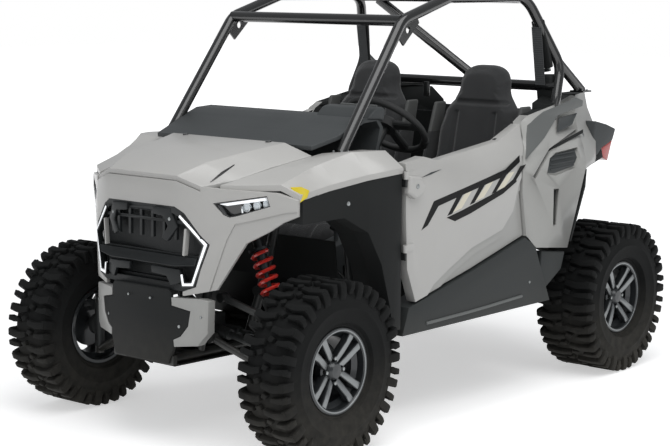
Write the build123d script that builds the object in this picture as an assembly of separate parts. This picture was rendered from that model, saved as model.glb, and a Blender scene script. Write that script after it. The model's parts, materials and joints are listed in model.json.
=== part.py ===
"""Two-seat sport side-by-side all-terrain vehicle, built as separate sub-parts.

Frame: +X forward, +Y to the vehicle's left, +Z up, in millimetres. The origin lies on
the ground in the middle of the vehicle's length and width.

The body is drawn on a lines plan: X() counts stations forward from the middle of the
wheelbase, Y() counts buttocks out from the centre plane and Z() counts waterlines up
from the ground. Tables of outline points hold such counts, which are shares of the
grid's pitches, so that the body follows its driving sizes.
"""

import os
from math import cos, hypot, pi, radians, sin, sqrt

from build123d import *

# Driving sizes of the vehicle
WHEELBASE = 2007
TYRE_DIAMETER = 680
REAR_OVERHANG = 366
BODY_WIDTH = 1400
ROOF_RAIL_HEIGHT = 1700
OVERALL_WIDTH = 1524
GROUND_CLEARANCE = 318

# Lines plan: stations per wheelbase, buttocks per body width, waterlines to the roof rail
STATION_COUNT = 20
BUTTOCK_COUNT = 14
WATERLINE_COUNT = 17
FRONT_OVERHANG = TYRE_DIAMETER / 2
LENGTH = FRONT_OVERHANG + WHEELBASE + REAR_OVERHANG
MIDDLE_X = LENGTH / 2 - FRONT_OVERHANG - WHEELBASE / 2
STATION_PITCH = WHEELBASE / STATION_COUNT
BUTTOCK_PITCH = BODY_WIDTH / BUTTOCK_COUNT
WATERLINE_PITCH = ROOF_RAIL_HEIGHT / WATERLINE_COUNT

# Fits and common walls
SEAT_GAP = 0.3
PANEL_GAP = 0.8
RUNNING_GAP = 6
OVERRUN = 400
SKID_THICKNESS = 5
FLOOR_THICKNESS = 5
PANEL_THICKNESS = 18
DOOR_THICKNESS = 42
TRIM_THICKNESS = 12

# Tubes
CAGE_RADIUS = 22.5
CAGE_BEND = 110
FRAME_RADIUS = 19
CROSS_RADIUS = 16
FRAME_BEND = 90
ARM_RADIUS = 14
FLANGE_RADIUS = 34
FLANGE_THICKNESS = 8

# Wheels and tyres
RIM_DIAMETER = 305
LUG_DEPTH = 19
LUG_COUNT = 22
LUG_WIDTH = 34
LUG_SHARES = [(-0.2, -0.08), (0.8, -0.08), (1.1, 0.5), (0.6, 1), (-0.4, 1), (0.1, 0.5)]
TREAD_SHOULDER_SHARE = 0.78
FRONT_TYRE_WIDTH = 229
REAR_TYRE_WIDTH = 279
FRONT_RIM_WIDTH = 178
REAR_RIM_WIDTH = 203
RIM_WALL = 6
RIM_LIP = 12
SPOKE_PAIRS = 4
SPOKE_WIDTH = 26
SPOKE_SPREAD = 15
SPOKE_DEPTH = 22
SPOKE_DISH = 26
HUB_RADIUS = 58
HUB_CAP_RADIUS = 30
HUB_CAP_HEIGHT = 16
BRAKE_RADIUS = 98
BRAKE_THICKNESS = 5

# Suspension and steering
KINGPIN_INSET = 72
KINGPIN_RADIUS = 20
BALL_JOINT_HEIGHT = 92
BALL_JOINT_RADIUS = 18
BALL_JOINT_THICKNESS = 28
CARRIER_RADIUS = 44
SPINDLE_RADIUS = 14
SPINDLE_LENGTH = 70
SHAFT_RADIUS = 13
SHAFT_BOOT_RADIUS = 22
DIFFERENTIAL_REAR = 55
DIFFERENTIAL_FRONT = 95
DIFFERENTIAL_HEIGHT = 110
STEER_ARM_LENGTH = 85
STEER_ARM_HEIGHT = 48
STEER_ARM_THICKNESS = 12
STEER_ARM_RADIUS = 13
TIE_ROD_RADIUS = 8
ROD_END_LIP = 2
STEER_LIMIT = 28
STEER_ROOM_STEPS = 12
SPRING_RADIUS = 43
SPRING_WIRE_RADIUS = 7.5
SPRING_TURNS = 5
COIL_STEPS = 16
WIRE_SIDES = 6
FOOT_PIN_RADIUS = 12
DAMPER_RADIUS = 20
DAMPER_ROD_RADIUS = 9

# Steering wheel
WHEEL_RIM_RADIUS = 172
WHEEL_GRIP_RADIUS = 14
WHEEL_HUB_RADIUS = 46
WHEEL_HUB_DEPTH = 34
COLUMN_RADIUS = 17
COLUMN_TILT = 50

FRONT_AXLE_X = MIDDLE_X + WHEELBASE / 2
REAR_AXLE_X = MIDDLE_X - WHEELBASE / 2
AXLE_Z = TYRE_DIAMETER / 2
FRONT_TRACK_Y = (OVERALL_WIDTH - FRONT_TYRE_WIDTH) / 2
REAR_TRACK_Y = (OVERALL_WIDTH - REAR_TYRE_WIDTH) / 2
KINGPIN_Y = FRONT_TRACK_Y - KINGPIN_INSET
SKID_TOP = GROUND_CLEARANCE + SKID_THICKNESS
RAIL_Z = SKID_TOP + SEAT_GAP + FRAME_RADIUS
FLOOR_Z = RAIL_Z + FRAME_RADIUS + SEAT_GAP


def X(stations):
    """Place along the vehicle, counted in stations forward of the wheelbase's middle."""
    return MIDDLE_X + stations * STATION_PITCH


def Y(buttocks):
    """Place across the vehicle, counted in buttocks left of the centre plane."""
    return buttocks * BUTTOCK_PITCH


def Z(waterlines):
    """Height above the ground, counted in waterlines."""
    return waterlines * WATERLINE_PITCH


def place(shares):
    """Point of the lines plan from its three counts."""
    return (X(shares[0]), Y(shares[1]), Z(shares[2]))


def mirrored(shape):
    """The same shape on the vehicle's other side."""
    return mirror(shape, about=Plane.XZ)


def group(*shapes):
    """One node's shape from solids that don't touch."""
    solids = [solid for shape in shapes for solid in shape.solids()]
    return Compound(children=solids)


def pair(shape):
    """A left piece with its mirrored right piece."""
    return group(shape, mirrored(shape))


def rod(start, end, radius):
    """Straight round bar from one point to another."""
    axis = Vector(*end) - Vector(*start)
    plane = Plane(origin=start, z_dir=axis)
    return plane * Cylinder(radius, axis.length, align=(Align.CENTER, Align.CENTER, Align.MIN))


def tube(points, radius, bend):
    """Round tube along straight runs that tangent arcs join."""
    path = FilletPolyline(*points, radius=bend)
    start = Plane(origin=path @ 0, z_dir=path % 0)
    return sweep(start * Circle(radius), path=path)


def prism(points, plane, depth):
    """Closed outline on a plane, extruded along the plane's normal."""
    return extrude(plane * make_face(Polyline(*points, close=True)), amount=depth)


def side_plate(points, inner_y, outer_y):
    """Outline in X and Z as a plate between two distances from the centre plane."""
    plane = Plane(origin=(0, outer_y, 0), x_dir=(1, 0, 0), z_dir=(0, -1, 0))
    return prism(points, plane, outer_y - inner_y)


def front_plate(points, rear_x, front_x):
    """Outline in Y and Z as a plate between two stations."""
    plane = Plane(origin=(rear_x, 0, 0), x_dir=(0, 1, 0), z_dir=(1, 0, 0))
    return prism(points, plane, front_x - rear_x)


def flat_plate(points, lower_z, upper_z):
    """Outline in X and Y as a plate between two heights."""
    return prism(points, Plane.XY.offset(lower_z), upper_z - lower_z)


def block(low, high):
    """Box between two opposite corners."""
    size = [b - a for a, b in zip(low, high)]
    middle = [(a + b) / 2 for a, b in zip(low, high)]
    return Pos(*middle) * Box(*size)


def band(points, thickness):
    """Closed outline of a bent sheet: a line of points and the same line moved to its left."""
    normals = []
    for (x0, z0), (x1, z1) in zip(points, points[1:]):
        run = hypot(x1 - x0, z1 - z0)
        normals.append(((z0 - z1) / run, (x1 - x0) / run))
    moved = []
    for index, (x, z) in enumerate(points):
        before = normals[max(index - 1, 0)]
        after = normals[min(index, len(normals) - 1)]
        spread = 1 + before[0] * after[0] + before[1] * after[1]
        shift = [thickness * (a + b) / spread for a, b in zip(before, after)]
        moved.append((x + shift[0], z + shift[1]))
    return list(points) + moved[::-1]


def xz(shares):
    """Side-view outline in millimetres from stations and waterlines."""
    return [(X(x), Z(z)) for x, z in shares]


def yz(shares):
    """Front-view outline in millimetres from buttocks and waterlines."""
    return [(Y(y), Z(z)) for y, z in shares]


def xy(shares):
    """Plan outline in millimetres from stations and buttocks."""
    return [(X(x), Y(y)) for x, y in shares]


def ruled(sections):
    """Solid with flat facets through closed sections of points."""
    faces = [make_face(Polyline(*points, close=True)) for points in sections]
    return loft(faces, ruled=True)


def shell_sections(rows, thickness):
    """Closed sections of a panel: each row is x and its skin points (y, z) from side to side."""
    sections = []
    for x, skin in rows:
        upper = [(x, y, z) for y, z in skin]
        lower = [(x, y, z - thickness) for y, z in reversed(skin)]
        sections.append(upper + lower)
    return sections


# Chassis frame
# columns: station, buttock, waterline; the rails lie on the skid plate
RAIL_SHARES = [(12.8, 1.3), (8.6, 1.5), (6.0, 3.2), (-3.6, 3.2), (-6.6, 2.0), (-11.6, 1.8)]
CROSS_TUBE_SHARES = [11.6, 9.9, 4.9, 1.2, -2.9, -7.4, -11.1]
PAD_SHARES = [9.9, -7.4]
PAD_HALF_LENGTH = 10
PAD_HALF_WIDTH = 60
NOSE_HOOP_SHARES = [(11.2, 1.32, None), (11.4, 1.9, 5.6), (11.0, 2.2, 8.7), (6.75, 4.75, 9.9)]
HINGE_PILLAR_SHARES = [(6.0, 3.1, None), (6.15, 4.85, 4.4), (6.94, 4.78, 10.9)]
REAR_UPRIGHT_SHARES = [(-5.0, 2.5, None), (-5.4, 4.6, 5.0), (-5.85, 5.6, 10.0)]
REAR_CRADLE_SHARES = [(-11.2, 1.85, None), (-11.5, 2.6, 5.4), (-10.9, 3.3, 8.9), (-5.75, 4.9, 8.6)]
MID_MOUNT_SHARES = [(8.8, 1.5, None), (8.8, 2.3, 5.6), (8.8, 3.3, 9.15)]
REAR_MID_MOUNT_SHARES = [(-8.6, 1.9, None), (-8.6, 2.7, 5.6), (-8.6, 4.0, 8.72)]


def frame_points(shares):
    """Tube points whose missing heights are the lower rails' own height."""
    return [(X(x), Y(y), RAIL_Z if z is None else Z(z)) for x, y, z in shares]


def chassis_frame():
    """Welded tube frame: lower rails, nose hoop, pillars that carry cage and hinges, cradle."""
    rail = tube([(X(x), Y(y), RAIL_Z) for x, y in RAIL_SHARES], FRAME_RADIUS, FRAME_BEND)
    side = rail
    for shares in (NOSE_HOOP_SHARES, HINGE_PILLAR_SHARES, REAR_UPRIGHT_SHARES, REAR_CRADLE_SHARES,
                   MID_MOUNT_SHARES, REAR_MID_MOUNT_SHARES):
        side += tube(frame_points(shares), FRAME_RADIUS, FRAME_BEND)
    pillar_top = place(HINGE_PILLAR_SHARES[-1])
    side += rod(pillar_top, (pillar_top[0], pillar_top[1], pillar_top[2] + FLANGE_THICKNESS), FLANGE_RADIUS)
    upright_top = place(REAR_UPRIGHT_SHARES[-1])
    side += rod(upright_top, (upright_top[0], upright_top[1], upright_top[2] + FLANGE_THICKNESS),
                FLANGE_RADIUS)
    for leaf in hinge_leaves():
        side += leaf
    frame = side + mirrored(side)
    for station in CROSS_TUBE_SHARES:
        reach = rail_reach(station)
        frame += rod((X(station), -reach, RAIL_Z), (X(station), reach, RAIL_Z), CROSS_RADIUS)
    for station in PAD_SHARES:
        frame += block((X(station) - PAD_HALF_LENGTH, -PAD_HALF_WIDTH, RAIL_Z),
                       (X(station) + PAD_HALF_LENGTH, PAD_HALF_WIDTH, FLOOR_Z - SEAT_GAP))
    for shares in (NOSE_HOOP_SHARES[3], NOSE_HOOP_SHARES[2], REAR_CRADLE_SHARES[2]):
        frame += rod(place(shares), place((shares[0], -shares[1], shares[2])), CROSS_RADIUS)
    nose_x = X(FASCIA_PLAN_SHARES[-1][0]) - PANEL_THICKNESS - SEAT_GAP
    nose_y = Y(RAIL_SHARES[0][1])
    for y in (-nose_y, nose_y):
        frame += block((nose_x - 2 * PAD_HALF_LENGTH, y - FLANGE_RADIUS, RAIL_Z - FRAME_RADIUS),
                       (nose_x, y + FLANGE_RADIUS, RAIL_Z + FRAME_RADIUS))
    return frame


def rail_reach(station):
    """Half the distance between the lower rails at a station."""
    for (x0, y0), (x1, y1) in zip(RAIL_SHARES, RAIL_SHARES[1:]):
        if x1 <= station <= x0:
            return Y(y0 + (y1 - y0) * (x0 - station) / (x0 - x1))
    return Y(RAIL_SHARES[-1][1])


# Roll cage
CAGE_SHARES = [(6.94, 4.78, None), (3.1, 4.66, 16.1), (0.0, 4.7, 17.0), (-5.6, 4.7, 17.0),
               (-7.05, 5.6, 14.0), (-6.42, 5.8, 12.5), (-5.85, 5.6, None)]
BRACE_SHARES = [(-7.0, 5.55, 14.1), (-8.85, 5.55)]
SHOULDER_BAR_SHARES = (-6.62, 5.7, 13.1)
ROOF_BAR_SHARES = (-5.5, 4.7, 16.95)
DIAGONAL_SHARES = [(-5.65, -3.6, 16.8), (-6.62, 1.7, 13.1)]
GUSSET_SHARES = [(3.5, 15.6), (2.2, 16.38), (2.0, 16.0), (3.0, 15.1)]
GUSSET_THICKNESS = 8
GUSSET_HOLE_SHARES = (2.72, 15.72)
GUSSET_HOLE_RADIUS = 14
BRACE_FOOT_SIZE = 70


def cage_points():
    """Points of the left hoop from its front foot over the roof to its rear foot."""
    front_z = Z(HINGE_PILLAR_SHARES[-1][2]) + FLANGE_THICKNESS + FLANGE_THICKNESS + SEAT_GAP
    rear_z = Z(REAR_UPRIGHT_SHARES[-1][2]) + FLANGE_THICKNESS + FLANGE_THICKNESS + SEAT_GAP
    first, last = CAGE_SHARES[0], CAGE_SHARES[-1]
    middle = [place(shares) for shares in CAGE_SHARES[1:-1]]
    return [(X(first[0]), Y(first[1]), front_z)] + middle + [(X(last[0]), Y(last[1]), rear_z)]


def cage_side():
    """Left hoop of the roll cage with its feet, rear brace and corner gusset."""
    points = cage_points()
    hoop = tube(points, CAGE_RADIUS, CAGE_BEND)
    for foot in (points[0], points[-1]):
        low = (foot[0], foot[1], foot[2] - FLANGE_THICKNESS)
        high = (foot[0], foot[1], foot[2] + FLANGE_THICKNESS)
        hoop += rod(low, high, FLANGE_RADIUS)
        hoop -= block((foot[0] - FLANGE_RADIUS, foot[1] - FLANGE_RADIUS, low[2] - CAGE_RADIUS),
                      (foot[0] + FLANGE_RADIUS, foot[1] + FLANGE_RADIUS, low[2]))
    deck_z = Z(REAR_FENDER_SHARES[1][1]) + SEAT_GAP
    foot_x, foot_y = X(BRACE_SHARES[1][0]), Y(BRACE_SHARES[1][1])
    hoop += rod(place(BRACE_SHARES[0]), (foot_x, foot_y, deck_z + FLANGE_THICKNESS), CAGE_RADIUS)
    half = BRACE_FOOT_SIZE / 2
    hoop += block((foot_x - half, foot_y - half, deck_z),
                  (foot_x + half, foot_y + half, deck_z + FLANGE_THICKNESS))
    hoop -= block((foot_x - half, foot_y - half, deck_z - CAGE_RADIUS),
                  (foot_x + half, foot_y + half, deck_z))
    gusset_y = Y(CAGE_SHARES[1][1])
    gusset = side_plate(xz(GUSSET_SHARES), gusset_y - GUSSET_THICKNESS / 2, gusset_y + GUSSET_THICKNESS / 2)
    hole_x, hole_z = X(GUSSET_HOLE_SHARES[0]), Z(GUSSET_HOLE_SHARES[1])
    gusset -= rod((hole_x, gusset_y - CAGE_RADIUS, hole_z), (hole_x, gusset_y + CAGE_RADIUS, hole_z),
                  GUSSET_HOLE_RADIUS)
    return hoop + gusset


def cage_crossbars(left, right):
    """Bars between the hoops: front header, rear roof bar, shoulder bar and diagonal."""
    header_y = Y(CAGE_SHARES[1][1])
    header_x = X(CAGE_SHARES[1][0])
    header_z = Z(CAGE_SHARES[1][2])
    header = rod((header_x, -header_y, header_z), (header_x, header_y, header_z), CAGE_RADIUS)
    shoulder = place(SHOULDER_BAR_SHARES)
    roof = place(ROOF_BAR_SHARES)
    rear = rod((shoulder[0], -shoulder[1], shoulder[2]), shoulder, CAGE_RADIUS)
    rear += rod((roof[0], -roof[1], roof[2]), roof, CAGE_RADIUS)
    rear += rod(place(DIAGONAL_SHARES[0]), place(DIAGONAL_SHARES[1]), CAGE_RADIUS)
    return group(header - left - right, largest(rear - left - right))


def largest(shape):
    """The solid with the most volume."""
    return max(shape.solids(), key=lambda solid: solid.volume)


# Floor, seats and cab
SKID_SHARES = [(12.8, 1.6), (8.6, 1.85), (5.8, 3.55), (-3.9, 3.55), (-6.6, 2.35), (-11.8, 2.15)]
FLOOR_SHARES = [(6.95, 7.6), (6.75, 5.8), (5.3, None), (1.7, None), (1.5, 5.5), (-4.3, 5.2), (-5.15, 9.6)]
FLOOR_HALF_SHARE = 4.5
CUSHION_Y_SHARE = 3.1
CUSHION_HALF_SHARE = 2.3
CUSHION_FRONT_SHARES = [(1.45, 6.6), (1.1, 7.05), (-2.75, 6.75)]
BACK_SHARES = [(-4.15, None), (-5.0, 9.6), (-5.35, 12.6), (-5.5, 14.2), (-4.75, 14.2), (-4.45, 12.7),
               (-3.7, 9.0), (-2.95, 6.9), (-2.85, None)]
BOLSTER_SHARES = [(-4.1, 7.6), (-5.05, 12.3), (-4.3, 12.3), (-2.9, 8.2)]
BACK_HALF_SHARE = 2.2
BACK_FRONT_SHARES = [(2.2, 0), (2.2, 11.2), (1.95, 12.1), (1.4, 12.85), (1.3, 13.5), (1.1, 13.95),
                     (0.6, 14.2)]
BOLSTER_WIDTH = 20
CONSOLE_SHARES = [(4.2, 5.4), (2.4, 6.4), (-2.5, 7.4), (-2.6, None)]
CONSOLE_HALF_SHARE = 0.55
SHIFTER_RADIUS = 9
SHIFTER_KNOB_RADIUS = 22
SHIFTER_HEIGHT = 110
SHIFTER_STATION_SHARE = 1.6
PEDAL_SHARES = [(5.95, 3.9), (5.95, 2.7)]
PEDAL_WIDTH = 60
PEDAL_HEIGHT = 90
PEDAL_THICKNESS = 8
PEDAL_ARM_WIDTH = 12


def skid_plate():
    """Flat guard under the frame."""
    outline = xy(SKID_SHARES)
    outline += [(x, -y) for x, y in reversed(outline)]
    return flat_plate(outline, GROUND_CLEARANCE, SKID_TOP)


def floor_points():
    """Underside of the floor sheet from the toe board to the bulkhead."""
    return [(X(x), FLOOR_Z if z is None else Z(z)) for x, z in FLOOR_SHARES]


def floor_pan():
    """Bent sheet: toe board, floor, seat base and the bulkhead behind the seats."""
    outline = band(floor_points()[::-1], FLOOR_THICKNESS)
    half = Y(FLOOR_HALF_SHARE)
    return side_plate(outline, -half, half)


def floor_top(x):
    """Height of the floor sheet's upper side at a place along the vehicle, with the seat gap."""
    points = band(floor_points()[::-1], FLOOR_THICKNESS)[len(FLOOR_SHARES):]
    points = sorted(points[1:-1])
    for (x0, z0), (x1, z1) in zip(points, points[1:]):
        if x0 <= x <= x1 and x1 > x0:
            return z0 + (z1 - z0) * (x - x0) / (x1 - x0) + SEAT_GAP
    return points[-1][1] + SEAT_GAP


def seat_cushions():
    """Bottom cushions of both seats."""
    rear_x, front_x = X(BACK_SHARES[-1][0]) + SEAT_GAP, X(CUSHION_FRONT_SHARES[0][0]) - SEAT_GAP
    outline = [(rear_x, floor_top(rear_x)), (front_x, floor_top(front_x))]
    outline += xz(CUSHION_FRONT_SHARES)
    outline[2] = (front_x, outline[2][1])
    outline[-1] = (rear_x, outline[-1][1])
    middle, half = Y(CUSHION_Y_SHARE), Y(CUSHION_HALF_SHARE)
    return pair(side_plate(outline, middle - half, middle + half))


def seat_backs():
    """Backs of both seats with their headrests."""
    outline = []
    for x, z in BACK_SHARES:
        outline.append((X(x), floor_top(X(x)) if z is None else Z(z)))
    middle = Y(CUSHION_Y_SHARE)
    whole = side_plate(outline, middle - Y(BACK_HALF_SHARE), middle + Y(BACK_HALF_SHARE))
    front = [(middle + y, z) for y, z in mirrored_outline(yz(BACK_FRONT_SHARES))]
    return pair(whole & front_plate(front, X(BACK_SHARES[3][0]), X(0)))


def seat_bolsters():
    """Grey side panels of the seat backs."""
    middle = Y(CUSHION_Y_SHARE)
    inner = middle + Y(BACK_HALF_SHARE) + SEAT_GAP
    left = side_plate(xz(BOLSTER_SHARES), inner, inner + BOLSTER_WIDTH)
    inner_side = middle - Y(BACK_HALF_SHARE) - SEAT_GAP
    right = side_plate(xz(BOLSTER_SHARES), inner_side - BOLSTER_WIDTH, inner_side)
    return pair(group(left, right))


def centre_console():
    """Tunnel between the seats with the gear lever."""
    front = X(CONSOLE_SHARES[0][0])
    step_x = X(FLOOR_SHARES[3][0])
    top = floor_top(step_x + PANEL_THICKNESS + SEAT_GAP)
    shelf_x = X(FLOOR_SHARES[4][0])
    outline = [(X(x), floor_top(X(x)) if z is None else Z(z)) for x, z in CONSOLE_SHARES]
    riser = step_x + FLOOR_THICKNESS + PANEL_GAP
    outline += [(shelf_x, floor_top(shelf_x)), (riser, floor_top(shelf_x)), (riser, top), (front, top)]
    half = Y(CONSOLE_HALF_SHARE)
    body = side_plate(outline, -half, half)
    lever_x, lever_z = X(SHIFTER_STATION_SHARE), Z(CONSOLE_SHARES[1][1])
    body += rod((lever_x, 0, lever_z), (lever_x, 0, lever_z + SHIFTER_HEIGHT), SHIFTER_RADIUS)
    body += Pos(lever_x, 0, lever_z + SHIFTER_HEIGHT) * Sphere(SHIFTER_KNOB_RADIUS)
    return body


def pedals(floor):
    """Brake and throttle pedals that hang from the toe board."""
    solids = []
    for x, y in PEDAL_SHARES:
        centre = (X(x), Y(y), Z(FLOOR_SHARES[1][1]))
        pad = Pos(centre[0] - PEDAL_HEIGHT / 2, centre[1], centre[2] - PEDAL_HEIGHT / 2) * Box(
            PEDAL_THICKNESS, PEDAL_WIDTH, PEDAL_HEIGHT)
        arm_end = (X(FLOOR_SHARES[0][0]), centre[1], Z(FLOOR_SHARES[0][1]) - PEDAL_WIDTH)
        arm = rod((centre[0] - PEDAL_HEIGHT / 2, centre[1], centre[2]), arm_end, PEDAL_ARM_WIDTH / 2)
        solids.append(largest((pad + arm) - floor))
    return group(*solids)


# Painted front
FASCIA_PLAN_SHARES = [(11.9, 7.0), (13.1, 3.3)]
GRILLE_SHARES = [(1.95, 9.35), (2.45, 9.15), (3.66, 8.08), (3.05, 6.45), (2.35, 6.2)]
FASCIA_SHARES = [(2.0, 10.5), (3.3, 10.2), (4.2, 10.15), (6.2, 10.12), (6.95, 9.9), (6.95, 9.3),
                 (6.4, 9.05), (5.9, 8.7), (5.0, 8.2), (3.87, 6.4), (2.45, 6.05)]
FOLD_SHARES = [(3.61, 6.3), (4.3, 8.3), (4.62, 8.9), (5.6, 9.15), (6.5, 9.42), (7.1, 9.5), (7.1, 9.0),
               (6.4, 8.9), (5.0, 7.8), (3.9, 5.9)]
FOLD_DEPTH = 7
GRILLE_FRAME = 26
GRILLE_BAR = 12
GRILLE_PITCH = 62
GRILLE_DEPTH = 26
GRILLE_SET_BACK = 30
CROSSBAR_SHARE = 7.25
CROSSBAR_HEIGHT = 34
LAMP_SHARES = [(3.72, 9.66), (5.9, 10.05), (6.05, 9.6), (4.73, 9.14), (4.4, 9.08), (4.18, 9.18)]
LAMP_DEPTH = 60
ACCENT_SHARES = [(2.2, 9.08), (3.5, 8.07), (2.88, 6.56)]
ACCENT_WIDTH = 9
ACCENT_DEPTH = 6
BUMPER_SHARES = [(1.5, 6.2), (1.72, 6.05), (1.72, 5.6), (2.74, 5.5), (2.62, 4.92), (2.22, 4.48),
                 (1.83, 4.3), (1.87, 4.03), (1.5, 3.3)]
BRACKET_SHARES = [(1.74, 5.9), (3.3, 6.02), (3.6, 5.95), (3.56, 4.74), (3.14, 4.24), (1.85, 4.03)]
HOOD_SHARES = [(13.05, 2.0, 10.5, 3.3, 10.2), (12.0, 2.5, 10.95, 4.0, 10.4), (10.5, 3.0, 11.25, 4.45, 10.8),
               (8.5, 3.3, 11.5, 4.65, 11.1)]
FENDER_SHARES = [(12.8, 3.9, 10.25, 6.2, 10.15, 6.9, 9.9), (10.2, 4.6, 10.85, 6.3, 10.95, 7.0, 10.3),
                 (8.0, 4.72, 11.15, 6.2, 11.3, 7.0, 10.5), (5.85, 4.95, 11.15, 6.1, 11.2, 7.0, 10.6)]
FENDER_THICKNESS = 22
FLARE_SHARES = [(11.6, 9.0), (11.6, 9.85), (10.2, 10.12), (8.0, 10.32), (5.9, 10.42), (5.9, 4.3),
                (6.35, 4.3), (6.6, 5.4), (7.1, 7.0), (7.9, 8.3), (9.3, 9.0)]
FLARE_INNER_SHARE = 6.2
LINER_SHARES = [(6.05, 4.4), (6.4, 5.5), (6.85, 6.8), (7.6, 8.1), (8.6, 8.85), (9.4, 9.12), (10.8, 9.15)]
LINER_INNER_SHARE = 5.2
COWL_SHARES = [(8.5, 11.45), (6.9, 11.75), (5.4, 12.3), (4.5, 12.35), (4.15, 11.9), (4.6, 10.4), (4.9, 8.7)]
COWL_HALF_SHARE = 4.62


def mirrored_outline(points):
    """Whole front-view outline from the points of its left half, top to bottom."""
    return points + [(-y, z) for y, z in reversed(points)]


def fascia_band(depth_from, depth_to):
    """Swept-back front wall as a tall solid between two depths behind its skin."""
    plan = xy(FASCIA_PLAN_SHARES)
    whole = plan + [(x, -y) for x, y in reversed(plan)]
    outer = [(x - depth_from, y) for x, y in whole]
    inner = [(x - depth_to, y) for x, y in whole]
    return flat_plate(outer + inner[::-1], 0, ROOF_RAIL_HEIGHT)


def front_fascia(bonnet, bumper, fenders):
    """Painted front round the grille, with its wings below the lamps."""
    outline = front_plate(mirrored_outline(yz(FASCIA_SHARES)), X(0), LENGTH)
    hole = front_plate(mirrored_outline(yz(GRILLE_SHARES)), X(0), LENGTH)
    foot_y, foot_z = GRILLE_SHARES[-1]
    lower = block((X(0), -Y(foot_y), 0), (LENGTH, Y(foot_y), Z(foot_z) + SEAT_GAP))
    skin = fascia_band(0, PANEL_THICKNESS) & (outline - hole - lower)
    _, flat, top, edge, low = HOOD_SHARES[0]
    under = PANEL_THICKNESS + PANEL_GAP
    roof = [(Y(flat), Z(top) - under), (Y(edge), Z(low) - under), (Y(edge), ROOF_RAIL_HEIGHT)]
    bonnet_room = front_plate(roof + [(-y, z) for y, z in reversed(roof)], X(0), LENGTH)
    fold = front_plate(yz(FOLD_SHARES), X(0), LENGTH) & fascia_band(-PANEL_GAP, FOLD_DEPTH)
    skin = skin - bonnet_room - bonnet - bumper - fenders - head_lamps() - fold - mirrored(fold)
    return largest(skin - steer_room() - mirrored(steer_room()))


def grille():
    """Mesh of the grille: rim, crossbar and slanted bars."""
    shape = front_plate(mirrored_outline(yz(GRILLE_SHARES)), X(0), LENGTH)
    zone = fascia_band(PANEL_GAP, GRILLE_DEPTH) & offset_outline(GRILLE_SHARES, -PANEL_GAP)
    inner = offset_outline(GRILLE_SHARES, -PANEL_GAP - GRILLE_FRAME)
    frame = zone - inner
    low, high = Z(GRILLE_SHARES[2][1]), Z(GRILLE_SHARES[0][1])
    bars = block((X(0), -BODY_WIDTH / 2, Z(CROSSBAR_SHARE)),
                 (LENGTH, BODY_WIDTH / 2, Z(CROSSBAR_SHARE) + CROSSBAR_HEIGHT))
    count = int((high - low) / GRILLE_PITCH)
    for index in range(1, count + 1):
        height = low + index * GRILLE_PITCH
        bars += block((X(0), -BODY_WIDTH / 2, height), (LENGTH, BODY_WIDTH / 2, height + GRILLE_BAR))
    uprights = int(Y(GRILLE_SHARES[1][0]) / GRILLE_PITCH)
    for index in range(-uprights, uprights + 1):
        across = index * GRILLE_PITCH
        bars += block((X(0), across - GRILLE_BAR / 2, low), (LENGTH, across + GRILLE_BAR / 2, high))
    core = fascia_band(GRILLE_DEPTH / 2, GRILLE_DEPTH)
    return largest(frame + (bars & core & zone & shape))


def offset_outline(shares, distance):
    """Front-view prism of an outline grown or shrunk by a distance."""
    face = make_face(Polyline(*mirrored_outline(yz(shares)), close=True))
    grown = offset(face, amount=distance, kind=Kind.INTERSECTION)
    plane = Plane(origin=(X(0), 0, 0), x_dir=(0, 1, 0), z_dir=(1, 0, 0))
    return extrude(plane * grown, amount=LENGTH - X(0))


def head_lamps():
    """Both head lamps, let into the front's wings."""
    return pair(front_plate(yz(LAMP_SHARES), X(0), LENGTH) & fascia_band(PANEL_GAP, LAMP_DEPTH))


def steer_room():
    """Room that the left front tyre takes while it steers, round the kingpin's line."""
    outboard = FRONT_TRACK_Y + FRONT_TYRE_WIDTH / 2 - KINGPIN_Y
    radius = TYRE_DIAMETER / 2
    points = [(0, 0)]
    for step in range(STEER_ROOM_STEPS + 1):
        height = radius * 2 * step / STEER_ROOM_STEPS
        chord = max(radius * radius - (height - radius) ** 2, 0) ** 0.5
        points.append((hypot(chord, outboard) + 2 * RUNNING_GAP, height + RUNNING_GAP))
    points.append((0, points[-1][1]))
    face = make_face(Polyline(*[(r, 0, z) for r, z in points], close=True))
    return Pos(FRONT_AXLE_X, KINGPIN_Y, 0) * revolve(face, axis=Axis.Z)


def front_lights():
    """Head lamps and the light strips beside the grille."""
    strip = band(yz(ACCENT_SHARES), ACCENT_WIDTH)
    strip = front_plate(strip, X(0), LENGTH) & fascia_band(-ACCENT_DEPTH, PANEL_GAP - SEAT_GAP)
    return group(head_lamps(), pair(strip))


def front_bumper():
    """Dark lower centre piece with the two grey end brackets beside it."""
    middle = fascia_band(0, PANEL_THICKNESS) & front_plate(
        mirrored_outline(yz(BUMPER_SHARES)), X(0), LENGTH)
    bracket = fascia_band(0, PANEL_THICKNESS * 2) & front_plate(yz(BRACKET_SHARES), X(0), LENGTH)
    clear = offset_outline(BUMPER_SHARES, SEAT_GAP)
    return group(middle, pair(largest(bracket - clear)))


def hood():
    """Bonnet with a flat middle and falling edges."""
    rows = []
    for x, flat, top, edge, low in HOOD_SHARES:
        skin = [(-Y(edge), Z(low)), (-Y(flat), Z(top)), (Y(flat), Z(top)), (Y(edge), Z(low))]
        rows.append((X(x), skin))
    return ruled(shell_sections(rows, PANEL_THICKNESS))


def front_fenders(tubes):
    """Painted fenders over the front wheels, beside the bonnet."""
    rows = []
    for x, y0, z0, y1, z1, y2, z2 in FENDER_SHARES:
        skin = [(Y(y0) + PANEL_GAP, Z(z0)), (Y(y1), Z(z1)), (Y(y2), Z(z2))]
        rows.append((X(x), skin))
    behind = fascia_band(PANEL_THICKNESS + PANEL_GAP, LENGTH)
    left = (ruled(shell_sections(rows, FENDER_THICKNESS)) & behind) - tubes - hood()
    return pair(largest(left))


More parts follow.
